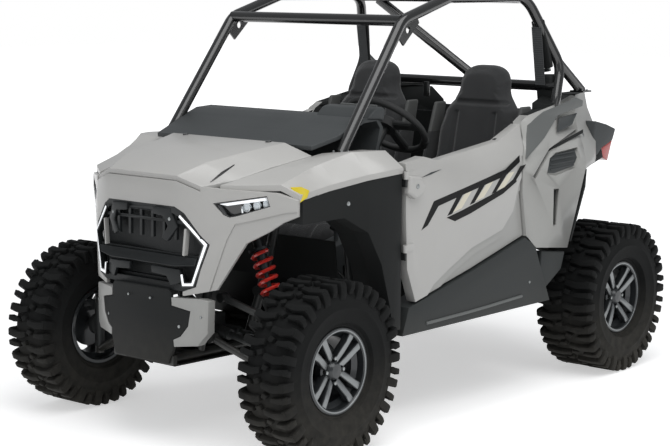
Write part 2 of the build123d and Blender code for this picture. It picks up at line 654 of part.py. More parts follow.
def front_flares(fenders, fascia):
    """Dark wheel-arch flares with the mudguard behind each front wheel."""
    left = side_plate(xz(FLARE_SHARES), Y(FLARE_INNER_SHARE), BODY_WIDTH / 2 - PANEL_GAP)
    liner = band(xz(LINER_SHARES), TRIM_THICKNESS)
    left += side_plate(liner, Y(LINER_INNER_SHARE), Y(FLARE_INNER_SHARE) + TRIM_THICKNESS)
    return pair(largest(left - fenders - fascia - steer_room()))


def cowl(tubes):
    """Dark cowl and dash panel behind the bonnet."""
    points = xz(COWL_SHARES)
    points[0] = (points[0][0] - PANEL_GAP, points[0][1])
    outline = band(points, PANEL_THICKNESS)
    half = Y(COWL_HALF_SHARE)
    return largest(side_plate(outline, -half, half) - tubes)


# Sides
DOOR_SHARES = [(5.7, 10.75), (4.6, 10.93), (3.7, 10.72), (-0.4, 11.2), (-1.9, 11.8), (-2.2, 10.8),
               (-2.15, 9.0), (-2.5, 7.05), (1.2, 6.1), (5.0, 5.25), (5.55, 6.6), (5.65, 8.6)]
DOOR_RIDGE_SHARES = [(-2.12, 10.46), (-2.15, 9.55), (-1.94, 9.19), (-1.58, 8.19), (-0.83, 7.49),
                     (1.31, 6.97), (2.85, 6.28), (3.84, 5.79), (4.67, 5.0), (-3, 5.0), (-3, 10.46)]
DOOR_LEDGE_SHARES = [(-2.06, 8.98), (-1.71, 7.92), (-1.06, 7.21), (1.09, 6.66), (2.7, 6.0), (4.3, 5.0),
                     (-3, 5.0), (-3, 8.98)]
DOOR_STEP = 7
ROCKER_SHARES = [(5.4, 5.07), (5.0, 5.16), (1.2, 6.01), (-2.52, 6.96), (-3.3, 6.52), (-4.5, 4.0), (5.8, 4.0)]
ROCKER_INNER_SHARE = 5.9
REAR_PANEL_SHARES = [(-3.36, 6.43), (-5.8, 6.15), (-7.2, 9.5), (-7.2, 12.7), (-6.1, 12.8), (-4.3, 12.44),
                     (-2.48, 12.13), (-2.0, 11.88), (-2.29, 10.8), (-2.24, 9.0), (-2.6, 7.02)]
REAR_PANEL_INNER_SHARE = 6.6
REAR_DECK_INNER_SHARE = 5.45
INTAKE_SHARES = [(-4.06, 9.53), (-4.26, 10.2), (-4.73, 10.4), (-6.42, 10.52), (-6.69, 10.05), (-6.34, 9.61),
                 (-4.77, 9.4)]
SLOT_SHARES = [(-4.62, 8.85), (-5.04, 8.81), (-4.87, 7.26), (-4.63, 7.22)]
SWEEP_SHARES = [(-3.0, 9.5), (-4.2, 10.62), (-7.1, 11.3), (-7.1, 11.05), (-4.3, 10.45), (-3.2, 9.4)]
RECESS_DEPTH = 14
REAR_DECK_SHARES = [(-7.2, 12.7), (-6.1, 12.8), (-4.3, 12.44), (-2.48, 12.13)]
REAR_FENDER_SHARES = [(-7.2, 9.5), (-7.2, 12.75), (-9.35, 12.75), (-10.9, 11.3), (-9.45, 9.6)]
REAR_FENDER_INNER_SHARE = 5.2
LAMP_BOX_SHARES = [(-9.3, 9.6), (-10.7, 11.1), (-11.3, 10.9), (-10.9, 9.6)]
HINGE_X_SHARE = 5.8
HINGE_SHARES = [7.0, 9.85]
HINGE_PIN_RADIUS = 5
HINGE_BARREL_RADIUS = 10
HINGE_LEAF_THICKNESS = 4
HINGE_HEIGHT = 30
HINGE_STRAP_LENGTH = 60
HINGE_STRAP_THICKNESS = 4


def hinge_axis():
    """Place of the left door's hinge line in plan."""
    return X(HINGE_X_SHARE), BODY_WIDTH / 2 + HINGE_BARREL_RADIUS + SEAT_GAP


def pillar_x(height):
    """Place of the hinge pillar along the vehicle at a height."""
    (x0, _, z0), (x1, _, z1) = HINGE_PILLAR_SHARES[1:]
    return X(x0) + (X(x1) - X(x0)) * (height - Z(z0)) / (Z(z1) - Z(z0))


def hinge_leaves():
    """Leaves and pins of the left door's two hinges, welded to the hinge pillar."""
    x, y = hinge_axis()
    pillar_y = Y(HINGE_PILLAR_SHARES[-1][1])
    half = HINGE_LEAF_THICKNESS / 2
    leaves = []
    for share in HINGE_SHARES:
        low, high = Z(share), Z(share) + HINGE_HEIGHT
        leaf = block((x - half, pillar_y - half, low), (x + half, y, high))
        leaf += block((x - half, pillar_y - half, low), (pillar_x(low), pillar_y + half, high))
        leaf += rod((x, y, low), (x, y, high + HINGE_HEIGHT + SEAT_GAP), HINGE_PIN_RADIUS)
        leaves.append(leaf)
    return leaves


def doors():
    """Left half door as thick as the real one, its skin stepped below the ridge, with hinge barrels."""
    skin_y = BODY_WIDTH / 2
    door = side_plate(xz(DOOR_SHARES), skin_y - DOOR_THICKNESS, skin_y)
    door -= side_plate(xz(DOOR_RIDGE_SHARES), skin_y - DOOR_STEP, skin_y)
    door -= side_plate(xz(DOOR_LEDGE_SHARES), skin_y - 2 * DOOR_STEP, skin_y)
    x, y = hinge_axis()
    for share in HINGE_SHARES:
        low = Z(share) + HINGE_HEIGHT + SEAT_GAP
        high = low + HINGE_HEIGHT
        door += block((x - HINGE_STRAP_LENGTH, skin_y, low), (x, skin_y + HINGE_STRAP_THICKNESS, high))
        door += rod((x, y, low), (x, y, high), HINGE_BARREL_RADIUS)
        door -= rod((x, y, low), (x, y, high), HINGE_PIN_RADIUS + SEAT_GAP)
    return door


def rocker_panels(side_panels):
    """Dark sills under the doors."""
    left = side_plate(xz(ROCKER_SHARES), Y(ROCKER_INNER_SHARE), BODY_WIDTH / 2)
    return pair(largest(left - side_panels))


def rear_side_panels(cage):
    """Side panels behind the doors, with a deck that the cage comes through."""
    left = side_plate(xz(REAR_PANEL_SHARES), Y(REAR_PANEL_INNER_SHARE), BODY_WIDTH / 2)
    for shares in (INTAKE_SHARES, SLOT_SHARES, SWEEP_SHARES):
        left -= side_plate(xz(shares), BODY_WIDTH / 2 - RECESS_DEPTH, BODY_WIDTH / 2)
    deck = band(xz(REAR_DECK_SHARES)[::-1], TRIM_THICKNESS)
    left += side_plate(deck, Y(REAR_DECK_INNER_SHARE), Y(REAR_PANEL_INNER_SHARE))
    return pair(largest(left - cage))


def rear_fender():
    """Left painted rear quarter: outer wall, top deck and sloping tail."""
    outline = [(x - PANEL_GAP, z) for x, z in xz(REAR_FENDER_SHARES)]
    wall = side_plate(outline, Y(REAR_PANEL_INNER_SHARE), BODY_WIDTH / 2)
    deck = band(outline[1:4], TRIM_THICKNESS)
    return wall + side_plate(deck, Y(REAR_FENDER_INNER_SHARE), Y(REAR_PANEL_INNER_SHARE))


def tail_lamps(fender):
    """Red lamps at the rear corners, under the quarters' tails."""
    lamp = side_plate(xz(LAMP_BOX_SHARES), Y(REAR_FENDER_INNER_SHARE), Y(REAR_PANEL_INNER_SHARE))
    return pair(largest(lamp - fender))


# Rear
BED_LOW_SHARES = (-11.6, 9.2)
BED_HIGH_SHARES = (-7.3, 11.6)
BED_WALL = 12
REAR_FASCIA_SHARES = [(5.1, 11.6), (5.1, 9.3), (3.8, 7.6)]
REAR_BUMPER_HEIGHT_SHARE = 5.6
BUMPER_ROOT_SHARES = (-11.4, 2.6)
BUMPER_TUBE_RADIUS = 16
HITCH_SIZE = 64
HITCH_BORE = 51
HITCH_LENGTH = 90
HITCH_PIN_RADIUS = 8
HITCH_PIN_INSET = 30
ANCHOR_SPACING_X = 250
ANCHOR_SPACING_Y = 700
ANCHOR_RADIUS = 5.5
ENGINE_LOW_SHARES = (-10.5, -1.75)
ENGINE_HIGH_SHARES = (-5.9, 1.75, 7.9)
MUFFLER_LOW_SHARES = (-12.6, -2.4, 5.9)
MUFFLER_HIGH_SHARES = (-11.5, 2.4, 7.4)
MUFFLER_BRACKET_SHARES = [(-11.8, -3.0, 6.5), (-11.0, 3.0, 6.6)]


def cargo_bed():
    """Open box behind the cab."""
    half = Y(REAR_FENDER_INNER_SHARE) - SEAT_GAP
    rear_x, front_x = X(BED_LOW_SHARES[0]), X(BED_HIGH_SHARES[0])
    low_z = Z(BED_LOW_SHARES[1])
    outer = block((rear_x, -half, low_z), (front_x, half, Z(BED_HIGH_SHARES[1])))
    inner = block((rear_x + BED_WALL, BED_WALL - half, low_z + BED_WALL),
                  (front_x - BED_WALL, half - BED_WALL, ROOF_RAIL_HEIGHT))
    bed = outer - inner
    middle_x = (rear_x + front_x) / 2
    for x in (middle_x - ANCHOR_SPACING_X / 2, middle_x + ANCHOR_SPACING_X / 2):
        for y in (-ANCHOR_SPACING_Y / 2, ANCHOR_SPACING_Y / 2):
            bed -= rod((x, y, low_z), (x, y, low_z + BED_WALL), ANCHOR_RADIUS)
    return bed


def rear_fascia():
    """Dark panel across the tail."""
    rear_x = X(BED_LOW_SHARES[0]) - SEAT_GAP
    return front_plate(mirrored_outline(yz(REAR_FASCIA_SHARES)), rear_x - PANEL_THICKNESS, rear_x)


def rear_bumper(frame):
    """Tube bumper with the hitch receiver in its middle."""
    x, z = rear_bumper_place()
    root_x, root_y = X(BUMPER_ROOT_SHARES[0]), Y(BUMPER_ROOT_SHARES[1])
    bar = tube([(root_x, root_y, z), (x, root_y, z), (x, -root_y, z), (root_x, -root_y, z)],
               BUMPER_TUBE_RADIUS, FRAME_BEND)
    receiver = block((x - HITCH_LENGTH / 2, -HITCH_SIZE / 2, z - HITCH_SIZE),
                     (x + HITCH_LENGTH, HITCH_SIZE / 2, z))
    bore = block((x - OVERRUN, -HITCH_BORE / 2, z - HITCH_SIZE / 2 - HITCH_BORE / 2),
                 (x + OVERRUN, HITCH_BORE / 2, z - HITCH_SIZE / 2 + HITCH_BORE / 2))
    pin_x, pin_y, pin_z = hitch_pin_place()
    pin_hole = rod((pin_x, -pin_y, pin_z), (pin_x, pin_y, pin_z), HITCH_PIN_RADIUS)
    return largest(bar + receiver - bore - pin_hole - frame)


def rear_bumper_place():
    """Bumper tube's place along the vehicle and height; the receiver ends the vehicle behind it."""
    return REAR_AXLE_X - REAR_OVERHANG + HITCH_LENGTH / 2, Z(REAR_BUMPER_HEIGHT_SHARE)


def hitch_pin_place():
    """Left end of the cross hole that a drawbar's pin goes through."""
    x, z = rear_bumper_place()
    return x - HITCH_LENGTH / 2 + HITCH_PIN_INSET, HITCH_SIZE / 2, z - HITCH_SIZE / 2


def engine_block():
    """Engine and gearbox as one plain block at their real place and size."""
    low = (X(ENGINE_LOW_SHARES[0]), Y(ENGINE_LOW_SHARES[1]), FLOOR_Z)
    return block(low, place(ENGINE_HIGH_SHARES))


def exhaust(frame):
    """Silencer across the tail, above the hitch, on a bracket between the cradle's legs."""
    bracket = block(place(MUFFLER_BRACKET_SHARES[0]), place(MUFFLER_BRACKET_SHARES[1]))
    return largest(block(place(MUFFLER_LOW_SHARES), place(MUFFLER_HIGH_SHARES)) + bracket - frame)


# Suspension
ARM_INNER_SHARES = {"lower": (1.2, 2.0, 4.1), "upper": (1.0, 2.4, 5.7)}
RACK_HALF_SHARE = 1.55
SHOCK_TOP_SHARES = {"front": (9.95, 2.95, 8.66), "rear": (-9.9, 3.55, 8.55)}
SHOCK_FOOT_Y_SHARES = {"front": 4.2, "rear": 4.0}


def ball_joint(x, y, low_z):
    """Round end of an arm, which a kingpin stands on or hangs from."""
    return rod((x, y, low_z), (x, y, low_z + BALL_JOINT_THICKNESS), BALL_JOINT_RADIUS)


def a_arm(axle_x, outer_y, low_z, inner):
    """One control arm: two tubes from the frame to a ball joint."""
    spread, inner_y, inner_z = inner
    middle_z = low_z + BALL_JOINT_THICKNESS / 2
    arm = ball_joint(axle_x, outer_y, low_z)
    for sign in (-1, 1):
        root = (axle_x + sign * spread * STATION_PITCH, Y(inner_y), Z(inner_z))
        arm += rod(root, (axle_x, outer_y, middle_z), ARM_RADIUS)
        bush = FRAME_RADIUS
        arm += rod((root[0] - bush, root[1], root[2]), (root[0] + bush, root[1], root[2]), FRAME_RADIUS)
    post_low, post_high = AXLE_Z - BALL_JOINT_HEIGHT, AXLE_Z + BALL_JOINT_HEIGHT
    return arm - rod((axle_x, outer_y, post_low), (axle_x, outer_y, post_high), KINGPIN_RADIUS + RUNNING_GAP)


def a_arms(axle_x, outer_y, frame):
    """Upper and lower control arms of one axle, both sides."""
    lower_z = AXLE_Z - BALL_JOINT_HEIGHT - BALL_JOINT_THICKNESS
    upper_z = AXLE_Z + BALL_JOINT_HEIGHT
    lower = a_arm(axle_x, outer_y, lower_z, ARM_INNER_SHARES["lower"]) - frame
    upper = a_arm(axle_x, outer_y, upper_z, ARM_INNER_SHARES["upper"]) - frame
    return pair(group(largest(lower), largest(upper)))


def kingpin_post(x, y):
    """Post between the two ball joints, a seat gap clear of both."""
    low = AXLE_Z - BALL_JOINT_HEIGHT + SEAT_GAP
    high = AXLE_Z + BALL_JOINT_HEIGHT - SEAT_GAP
    return rod((x, y, low), (x, y, high), KINGPIN_RADIUS)


def carrier(x, y):
    """Bearing carrier on a kingpin post, with the spindle that the wheel turns on."""
    face_y = y + KINGPIN_RADIUS + SEAT_GAP
    body = rod((x, y, AXLE_Z), (x, face_y, AXLE_Z), CARRIER_RADIUS)
    return body + rod((x, y, AXLE_Z), (x, face_y + SPINDLE_LENGTH, AXLE_Z), SPINDLE_RADIUS)


def knuckle():
    """Left front knuckle: kingpin post, bearing carrier and steering arm."""
    post = kingpin_post(FRONT_AXLE_X, KINGPIN_Y)
    post += carrier(FRONT_AXLE_X, KINGPIN_Y)
    arm_low = AXLE_Z + STEER_ARM_HEIGHT - STEER_ARM_THICKNESS
    arm = block((FRONT_AXLE_X - STEER_ARM_LENGTH, KINGPIN_Y - STEER_ARM_RADIUS, arm_low),
                (FRONT_AXLE_X, KINGPIN_Y + STEER_ARM_RADIUS, arm_low + STEER_ARM_THICKNESS))
    eye = (FRONT_AXLE_X - STEER_ARM_LENGTH, KINGPIN_Y)
    arm += rod((eye[0], eye[1], arm_low), (eye[0], eye[1], arm_low + STEER_ARM_THICKNESS),
               STEER_ARM_RADIUS)
    return post + arm


def rear_knuckles():
    """Rear bearing carriers between the control arms."""
    y = REAR_TRACK_Y - KINGPIN_INSET
    post = kingpin_post(REAR_AXLE_X, y)
    return pair(post + carrier(REAR_AXLE_X, y))


def steering_rack(frame):
    """Rack housing behind the front axle."""
    x = FRONT_AXLE_X - STEER_ARM_LENGTH
    z = AXLE_Z + STEER_ARM_HEIGHT + SEAT_GAP + TIE_ROD_RADIUS + ROD_END_LIP
    body = rod((x, -Y(RACK_HALF_SHARE), z), (x, Y(RACK_HALF_SHARE), z), FRAME_RADIUS)
    bore = rod((x, -KINGPIN_Y, z), (x, KINGPIN_Y, z), TIE_ROD_RADIUS + SEAT_GAP)
    foot = block((x - FRAME_RADIUS, -Y(RACK_HALF_SHARE), RAIL_Z), (x + FRAME_RADIUS, Y(RACK_HALF_SHARE), z))
    return largest(body + foot - bore - frame)


def tie_rods():
    """Rack bar with its rod ends, which lie on top of the steering arms."""
    x = FRONT_AXLE_X - STEER_ARM_LENGTH
    z = AXLE_Z + STEER_ARM_HEIGHT + SEAT_GAP + TIE_ROD_RADIUS + ROD_END_LIP
    bar = rod((x, -KINGPIN_Y, z), (x, KINGPIN_Y, z), TIE_ROD_RADIUS)
    for sign in (-1, 1):
        low = AXLE_Z + STEER_ARM_HEIGHT + SEAT_GAP
        bar += rod((x, sign * KINGPIN_Y, low), (x, sign * KINGPIN_Y, z + TIE_ROD_RADIUS + ROD_END_LIP),
                   STEER_ARM_RADIUS)
    return bar


def shock_line(axle, axle_x):
    """Top and foot of a shock absorber, and half the reach of its pin across the upper arm's tubes."""
    top = place(SHOCK_TOP_SHARES[axle])
    outer_y = KINGPIN_Y if axle == "front" else REAR_TRACK_Y - KINGPIN_INSET
    spread, inner_y, inner_z = ARM_INNER_SHARES["upper"]
    foot_y = Y(SHOCK_FOOT_Y_SHARES[axle])
    outer_z = AXLE_Z + BALL_JOINT_HEIGHT + BALL_JOINT_THICKNESS / 2
    share = (foot_y - Y(inner_y)) / (outer_y - Y(inner_y))
    fall = (outer_z - Z(inner_z)) / (outer_y - Y(inner_y))
    rise = (ARM_RADIUS + FOOT_PIN_RADIUS + SEAT_GAP) * hypot(1, fall)
    foot_z = Z(inner_z) + (outer_z - Z(inner_z)) * share + rise
    return (axle_x, top[1], top[2]), (axle_x, foot_y, foot_z), spread * STATION_PITCH * (1 - share)


def along(line, share):
    """Point on a line at a share of its length."""
    return tuple(a + (b - a) * share for a, b in zip(*line))


SPRING_SPAN_SHARES = (0.35, 0.88)
SPRING_SEAT_SHARE = 0.03
DAMPER_BODY_SHARE = 0.6
DAMPER_ROD_SHARE = 0.5
SHOCK_CARRIER_SHARES = {"front": NOSE_HOOP_SHARES[2:], "rear": REAR_CRADLE_SHARES[2:]}
BOOT_SHARE = 0.2
DIFFERENTIAL_HALF_SHARE = 1.0
FRONT_SHAFT_ROOT_SHARE = 0.9
REAR_SHAFT_SHARES = (1.7, 4.6)


def shock_absorbers():
    """Dampers of all four wheels: eye under the frame's tube, spring seats and a pin on the arm."""
    solids = []
    for axle, axle_x in (("front", FRONT_AXLE_X), ("rear", REAR_AXLE_X)):
        top, foot, reach = shock_line(axle, axle_x)
        line = (top, foot)
        body = rod(top, along(line, DAMPER_BODY_SHARE), DAMPER_RADIUS)
        body += rod(along(line, DAMPER_ROD_SHARE), foot, DAMPER_ROD_RADIUS)
        upper, lower = SPRING_SPAN_SHARES
        body += rod(along(line, upper - SPRING_SEAT_SHARE), along(line, upper), SPRING_RADIUS)
        body += rod(along(line, lower), along(line, lower + SPRING_SEAT_SHARE), SPRING_RADIUS)
        x, y, z = top
        body += rod((x - DAMPER_RADIUS, y, z), (x + DAMPER_RADIUS, y, z), DAMPER_RADIUS)
        x, y, z = foot
        body += rod((x - reach, y, z), (x + reach, y, z), FOOT_PIN_RADIUS)
        low, high = SHOCK_CARRIER_SHARES[axle]
        solids.append(largest(body - rod(place(low), place(high), FRAME_RADIUS + SEAT_GAP)))
    return pair(group(*solids))


def springs():
    """Coil springs round the dampers: one wire wound from seat to seat."""
    solids = []
    for axle, axle_x in (("front", FRONT_AXLE_X), ("rear", REAR_AXLE_X)):
        top, foot, _ = shock_line(axle, axle_x)
        line = (top, foot)
        low, high = along(line, SPRING_SPAN_SHARES[1]), along(line, SPRING_SPAN_SHARES[0])
        axis = Vector(*high) - Vector(*low)
        wire_reach = SPRING_WIRE_RADIUS * sin(pi / 3)
        length = axis.length - 2 * (wire_reach + SEAT_GAP)
        start = Plane(origin=low, z_dir=axis) * Pos(0, 0, wire_reach + SEAT_GAP)
        solids.append(start * ruled(coil_sections(length)))
    return pair(group(*solids))


def coil_sections(length):
    """Six-sided sections of a spring's wire, turn by turn, square to its winding."""
    sections = []
    steps = SPRING_TURNS * COIL_STEPS
    for step in range(steps + 1):
        turn = 2 * pi * step / COIL_STEPS
        height = length * step / steps
        points = []
        for corner in range(WIRE_SIDES):
            angle = 2 * pi * corner / WIRE_SIDES
            reach = SPRING_RADIUS - SPRING_WIRE_RADIUS + SPRING_WIRE_RADIUS * cos(angle)
            points.append((reach * cos(turn), reach * sin(turn), height + SPRING_WIRE_RADIUS * sin(angle)))
        sections.append(points)
    return sections


def half_shaft(axle_x, hub_y, root):
    """Left half shaft with a boot at each end, from its root down to the wheel's hub."""
    outer_y = hub_y - KINGPIN_RADIUS - 2 * RUNNING_GAP
    line = ((axle_x, root[0], root[1]), (axle_x, outer_y, AXLE_Z))
    shaft = rod(line[0], line[1], SHAFT_RADIUS)
    shaft += rod(line[0], along(line, BOOT_SHARE), SHAFT_BOOT_RADIUS)
    return shaft + rod(along(line, 1 - BOOT_SHARE), line[1], SHAFT_BOOT_RADIUS)


def front_drive():
    """Front differential with both half shafts."""
    low = (FRONT_AXLE_X - DIFFERENTIAL_REAR, -Y(DIFFERENTIAL_HALF_SHARE), FLOOR_Z)
    high = (FRONT_AXLE_X + DIFFERENTIAL_FRONT, Y(DIFFERENTIAL_HALF_SHARE), FLOOR_Z + DIFFERENTIAL_HEIGHT)
    root = (Y(FRONT_SHAFT_ROOT_SHARE), FLOOR_Z + DIFFERENTIAL_HEIGHT / 2)
    left = half_shaft(FRONT_AXLE_X, KINGPIN_Y, root)
    return block(low, high) + left + mirrored(left)


def rear_drive(engine):
    """Rear half shafts, which come out of the gearbox."""
    hub_y = REAR_TRACK_Y - KINGPIN_INSET
    root = (Y(REAR_SHAFT_SHARES[0]), Z(REAR_SHAFT_SHARES[1]))
    return pair(largest(half_shaft(REAR_AXLE_X, hub_y, root) - engine))


# Wheels
def rim(track_y, width):
    """Left wheel: barrel, twin spokes, hub, cap and brake disc, turned about the axle line."""
    inner, outer = track_y - width / 2, track_y + width / 2
    seat = RIM_DIAMETER / 2 - SEAT_GAP
    barrel = [(seat - RIM_WALL, inner), (seat + RIM_LIP, inner), (seat + RIM_LIP, inner + RIM_WALL),
              (seat, inner + RIM_WALL), (seat, outer - RIM_WALL), (seat + RIM_LIP, outer - RIM_WALL),
              (seat + RIM_LIP, outer), (seat - RIM_WALL, outer)]
    turned = turned_about_axle(barrel)
    face_y = outer - SPOKE_DISH
    hub = rod((0, face_y - SPOKE_DEPTH * 2, 0), (0, face_y, 0), HUB_RADIUS)
    hub += rod((0, face_y, 0), (0, face_y + HUB_CAP_HEIGHT, 0), HUB_CAP_RADIUS)
    disc_y = KINGPIN_Y if track_y == FRONT_TRACK_Y else REAR_TRACK_Y - KINGPIN_INSET
    disc_y += KINGPIN_RADIUS + RUNNING_GAP
    hub += rod((0, disc_y, 0), (0, disc_y + BRAKE_THICKNESS, 0), BRAKE_RADIUS)
    hub += rod((0, disc_y, 0), (0, face_y, 0), HUB_CAP_RADIUS)
    wheel = turned + hub
    bore = rod((0, inner, 0), (0, disc_y + SPINDLE_LENGTH, 0), SPINDLE_RADIUS + SEAT_GAP)
    reach = seat - RIM_WALL / 2
    for index in range(SPOKE_PAIRS):
        angle = 45 + 360 / SPOKE_PAIRS * index
        for sign in (-1, 1):
            spoke = block((0, face_y - SPOKE_DEPTH, sign * SPOKE_SPREAD - SPOKE_WIDTH / 2),
                          (reach, face_y, sign * SPOKE_SPREAD + SPOKE_WIDTH / 2))
            wheel += Rot(0, angle, 0) * spoke
    return wheel - bore


def turned_about_axle(profile):
    """Ring from a profile of (radius, y) points."""
    face = make_face(Polyline(*[(r, y, 0) for r, y in profile], close=True))
    return revolve(face, axis=Axis.Y)


def tyre(track_y, width):
    """Left tyre with angled lugs that alternate from shoulder to middle."""
    tip = TYRE_DIAMETER / 2
    crown = tip - LUG_DEPTH
    bead = RIM_DIAMETER / 2
    rim_half = (FRONT_RIM_WIDTH if track_y == FRONT_TRACK_Y else REAR_RIM_WIDTH) / 2 - RIM_WALL - PANEL_GAP
    half = width / 2
    shoulder = half * TREAD_SHOULDER_SHARE
    profile = [(bead, -rim_half), (bead + RIM_LIP, -rim_half), (bead + 2 * RIM_LIP, -half + LUG_DEPTH),
               (crown - 3 * LUG_DEPTH, -half + LUG_DEPTH / 2), (crown, -shoulder), (crown, shoulder),
               (crown - 3 * LUG_DEPTH, half - LUG_DEPTH / 2), (bead + 2 * RIM_LIP, half - LUG_DEPTH),
               (bead + RIM_LIP, rim_half), (bead, rim_half)]
    body = turned_about_axle(profile)
    lug = tread_lug(crown, tip, half)
    lugs = []
    for index in range(LUG_COUNT):
        turn = 360 / LUG_COUNT * index
        lugs.append(Rot(0, turn, 0) * lug)
        lugs.append(Rot(0, turn + 180 / LUG_COUNT, 0) * mirrored(lug))
    return Pos(0, track_y, 0) * body.fuse(*lugs)


def tread_lug(crown, tip, half):
    """One lug: a bar that slants from the middle of the tread over the shoulder."""
    outline = [(LUG_WIDTH * x, half * y) for x, y in LUG_SHARES]
    corner = max(abs(x) for x, _ in outline)
    sole_z = sqrt(tip * tip - corner * corner)
    sole = flat_plate(outline, sole_z - LUG_DEPTH * 3, sole_z)
    under = turned_about_axle([(0, -half), (0, half), (crown - 3 * LUG_DEPTH, half - LUG_DEPTH / 2),
                               (crown - LUG_DEPTH / 2, half * TREAD_SHOULDER_SHARE),
                               (crown - LUG_DEPTH / 2, -half)])
    return largest(sole - under)


def at_wheel(shape, x):
    """Wheel part moved from the axle line at the origin to its own axle."""
    return Pos(x, 0, AXLE_Z) * shape


# Cab controls
STEERING_WHEEL_SHARES = (2.3, 3.3, 11.8)


def steering_wheel():
    """Grip ring, hub and three spokes, square to the column."""
    ring = Torus(WHEEL_RIM_RADIUS, WHEEL_GRIP_RADIUS)
    hub = Cylinder(WHEEL_HUB_RADIUS, WHEEL_HUB_DEPTH)
    wheel = ring + hub
    for angle in (0, 90, 180):
        spoke = Pos(WHEEL_RIM_RADIUS / 2, 0, 0) * Box(WHEEL_RIM_RADIUS, WHEEL_HUB_DEPTH, WHEEL_GRIP_RADIUS)
        wheel += Rot(0, 0, angle) * spoke
    return column_plane() * wheel


def column_plane():
    """Plane of the steering wheel: its normal runs up the column to the driver."""
    tilt = radians(COLUMN_TILT)
    return Plane(origin=place(STEERING_WHEEL_SHARES), x_dir=(0, 1, 0), z_dir=(-cos(tilt), 0, sin(tilt)))


def steering_column(dash):
    """Column tube from the dash up to the steering wheel's hub."""
    plane = column_plane()
    top = plane.from_local_coords(Vector(0, 0, -WHEEL_HUB_DEPTH / 2 - SEAT_GAP))
    foot = plane.from_local_coords(Vector(0, 0, -WHEEL_HUB_DEPTH / 2 - WHEELBASE / 4))
    whole = rod(tuple(top), tuple(foot), COLUMN_RADIUS) - dash
    return whole.solids().sort_by(Axis.Z)[-1]


BELT_SHARES = [(-6.02, 15.7), (-6.42, 13.15)]
BELT_Y_SHARE = 5.0
BELT_WIDTH = 50
BELT_THICKNESS = 4


def seat_belts(cage):
    """Shoulder webbing of both belts, from the hoop's guide down to the shoulder bar."""
    outline = band(xz(BELT_SHARES), BELT_THICKNESS)
    strap = side_plate(outline, Y(BELT_Y_SHARE) - BELT_WIDTH / 2, Y(BELT_Y_SHARE) + BELT_WIDTH / 2)
    return pair(largest(strap - cage))


def build():
    """All nodes of the vehicle by name."""
    frame = chassis_frame()
    left_hoop = cage_side()
    right_hoop = mirrored(left_hoop)
    crossbars = cage_crossbars(left_hoop, right_hoop)
    tubes = left_hoop + frame
    floor = floor_pan()
    dash = cowl(left_hoop + right_hoop + frame)
    front_arms = a_arms(FRONT_AXLE_X, KINGPIN_Y, frame)
    rear_arms = a_arms(REAR_AXLE_X, REAR_TRACK_Y - KINGPIN_INSET, frame)
    left_door = doors()
    fenders = front_fenders(tubes)
    bonnet = hood()
    bumper = front_bumper()
    fascia = front_fascia(bonnet, bumper, fenders)
    left_knuckle = knuckle()
    engine = engine_block()
    left_fender = rear_fender()
    side_panels = rear_side_panels(left_hoop + frame)
    nodes = {
        "chassis_frame": frame,
        "skid_plate": skid_plate(),
        "floor_pan": floor - frame,
        "cage_left": left_hoop,
        "cage_right": right_hoop,
        "cage_crossbars": crossbars,
        "hood": bonnet,
        "front_fascia": fascia,
        "grille": grille(),
        "front_lights": front_lights(),
        "front_bumper": bumper,
        "front_fenders": fenders,
        "front_flares": front_flares(fenders, fascia),
        "cowl": dash,
        "rocker_panels": rocker_panels(side_panels),
        "rear_side_panels": side_panels,
        "rear_fenders": pair(left_fender),
        "tail_lamps": tail_lamps(left_fender),
        "cargo_bed": cargo_bed(),
        "rear_fascia": rear_fascia(),
        "rear_bumper": rear_bumper(frame),
        "seat_cushions": seat_cushions(),
        "seat_backs": seat_backs(),
        "seat_bolsters": seat_bolsters(),
        "centre_console": centre_console(),
        "pedals": pedals(floor),
        "seat_belts": seat_belts(left_hoop + crossbars),
        "engine_block": engine,
        "exhaust": exhaust(frame),
        "front_arms": front_arms,
        "rear_arms": rear_arms,
        "shock_absorbers": shock_absorbers(),
        "springs": springs(),
        "front_drive": front_drive(),
        "rear_drive": rear_drive(engine),
        "rear_knuckles": rear_knuckles(),
        "knuckle_left": left_knuckle,
        "knuckle_right": mirrored(left_knuckle),
        "steering_rack": steering_rack(frame),
        "tie_rods": tie_rods(),
        "steering_wheel": steering_wheel(),
        "steering_column": steering_column(dash),
        "door_left": left_door,
        "door_right": mirrored(left_door),
    }
    for end, x, track, tyre_width, rim_width in (
            ("front", FRONT_AXLE_X, FRONT_TRACK_Y, FRONT_TYRE_WIDTH, FRONT_RIM_WIDTH),
            ("rear", REAR_AXLE_X, REAR_TRACK_Y, REAR_TYRE_WIDTH, REAR_RIM_WIDTH)):
        left_rim = at_wheel(rim(track, rim_width), x)
        left_tyre = at_wheel(tyre(track, tyre_width), x)
        nodes[f"rim_{end}_left"] = left_rim
        nodes[f"rim_{end}_right"] = mirrored(left_rim)
        nodes[f"tyre_{end}_left"] = left_tyre
        nodes[f"tyre_{end}_right"] = mirrored(left_tyre)
    return nodes


if __name__ == "__main__":
    os.makedirs("parts", exist_ok=True)
    for name, shape in build().items():
        export_step(shape, f"parts/{name}.step")
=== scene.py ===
"""Looks of a two-seat sport side-by-side vehicle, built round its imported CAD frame.

Metres, +X forward, +Y to the vehicle's left, +Z up, the origin on the ground in the middle
of the vehicle. Each sub-assembly is a class that holds its sizes and builds its pieces.
"""

import json
import logging
import math
from collections.abc import Callable, Iterable
from dataclasses import dataclass
from enum import Enum

import bmesh
import bpy
from mathutils import Matrix, Vector

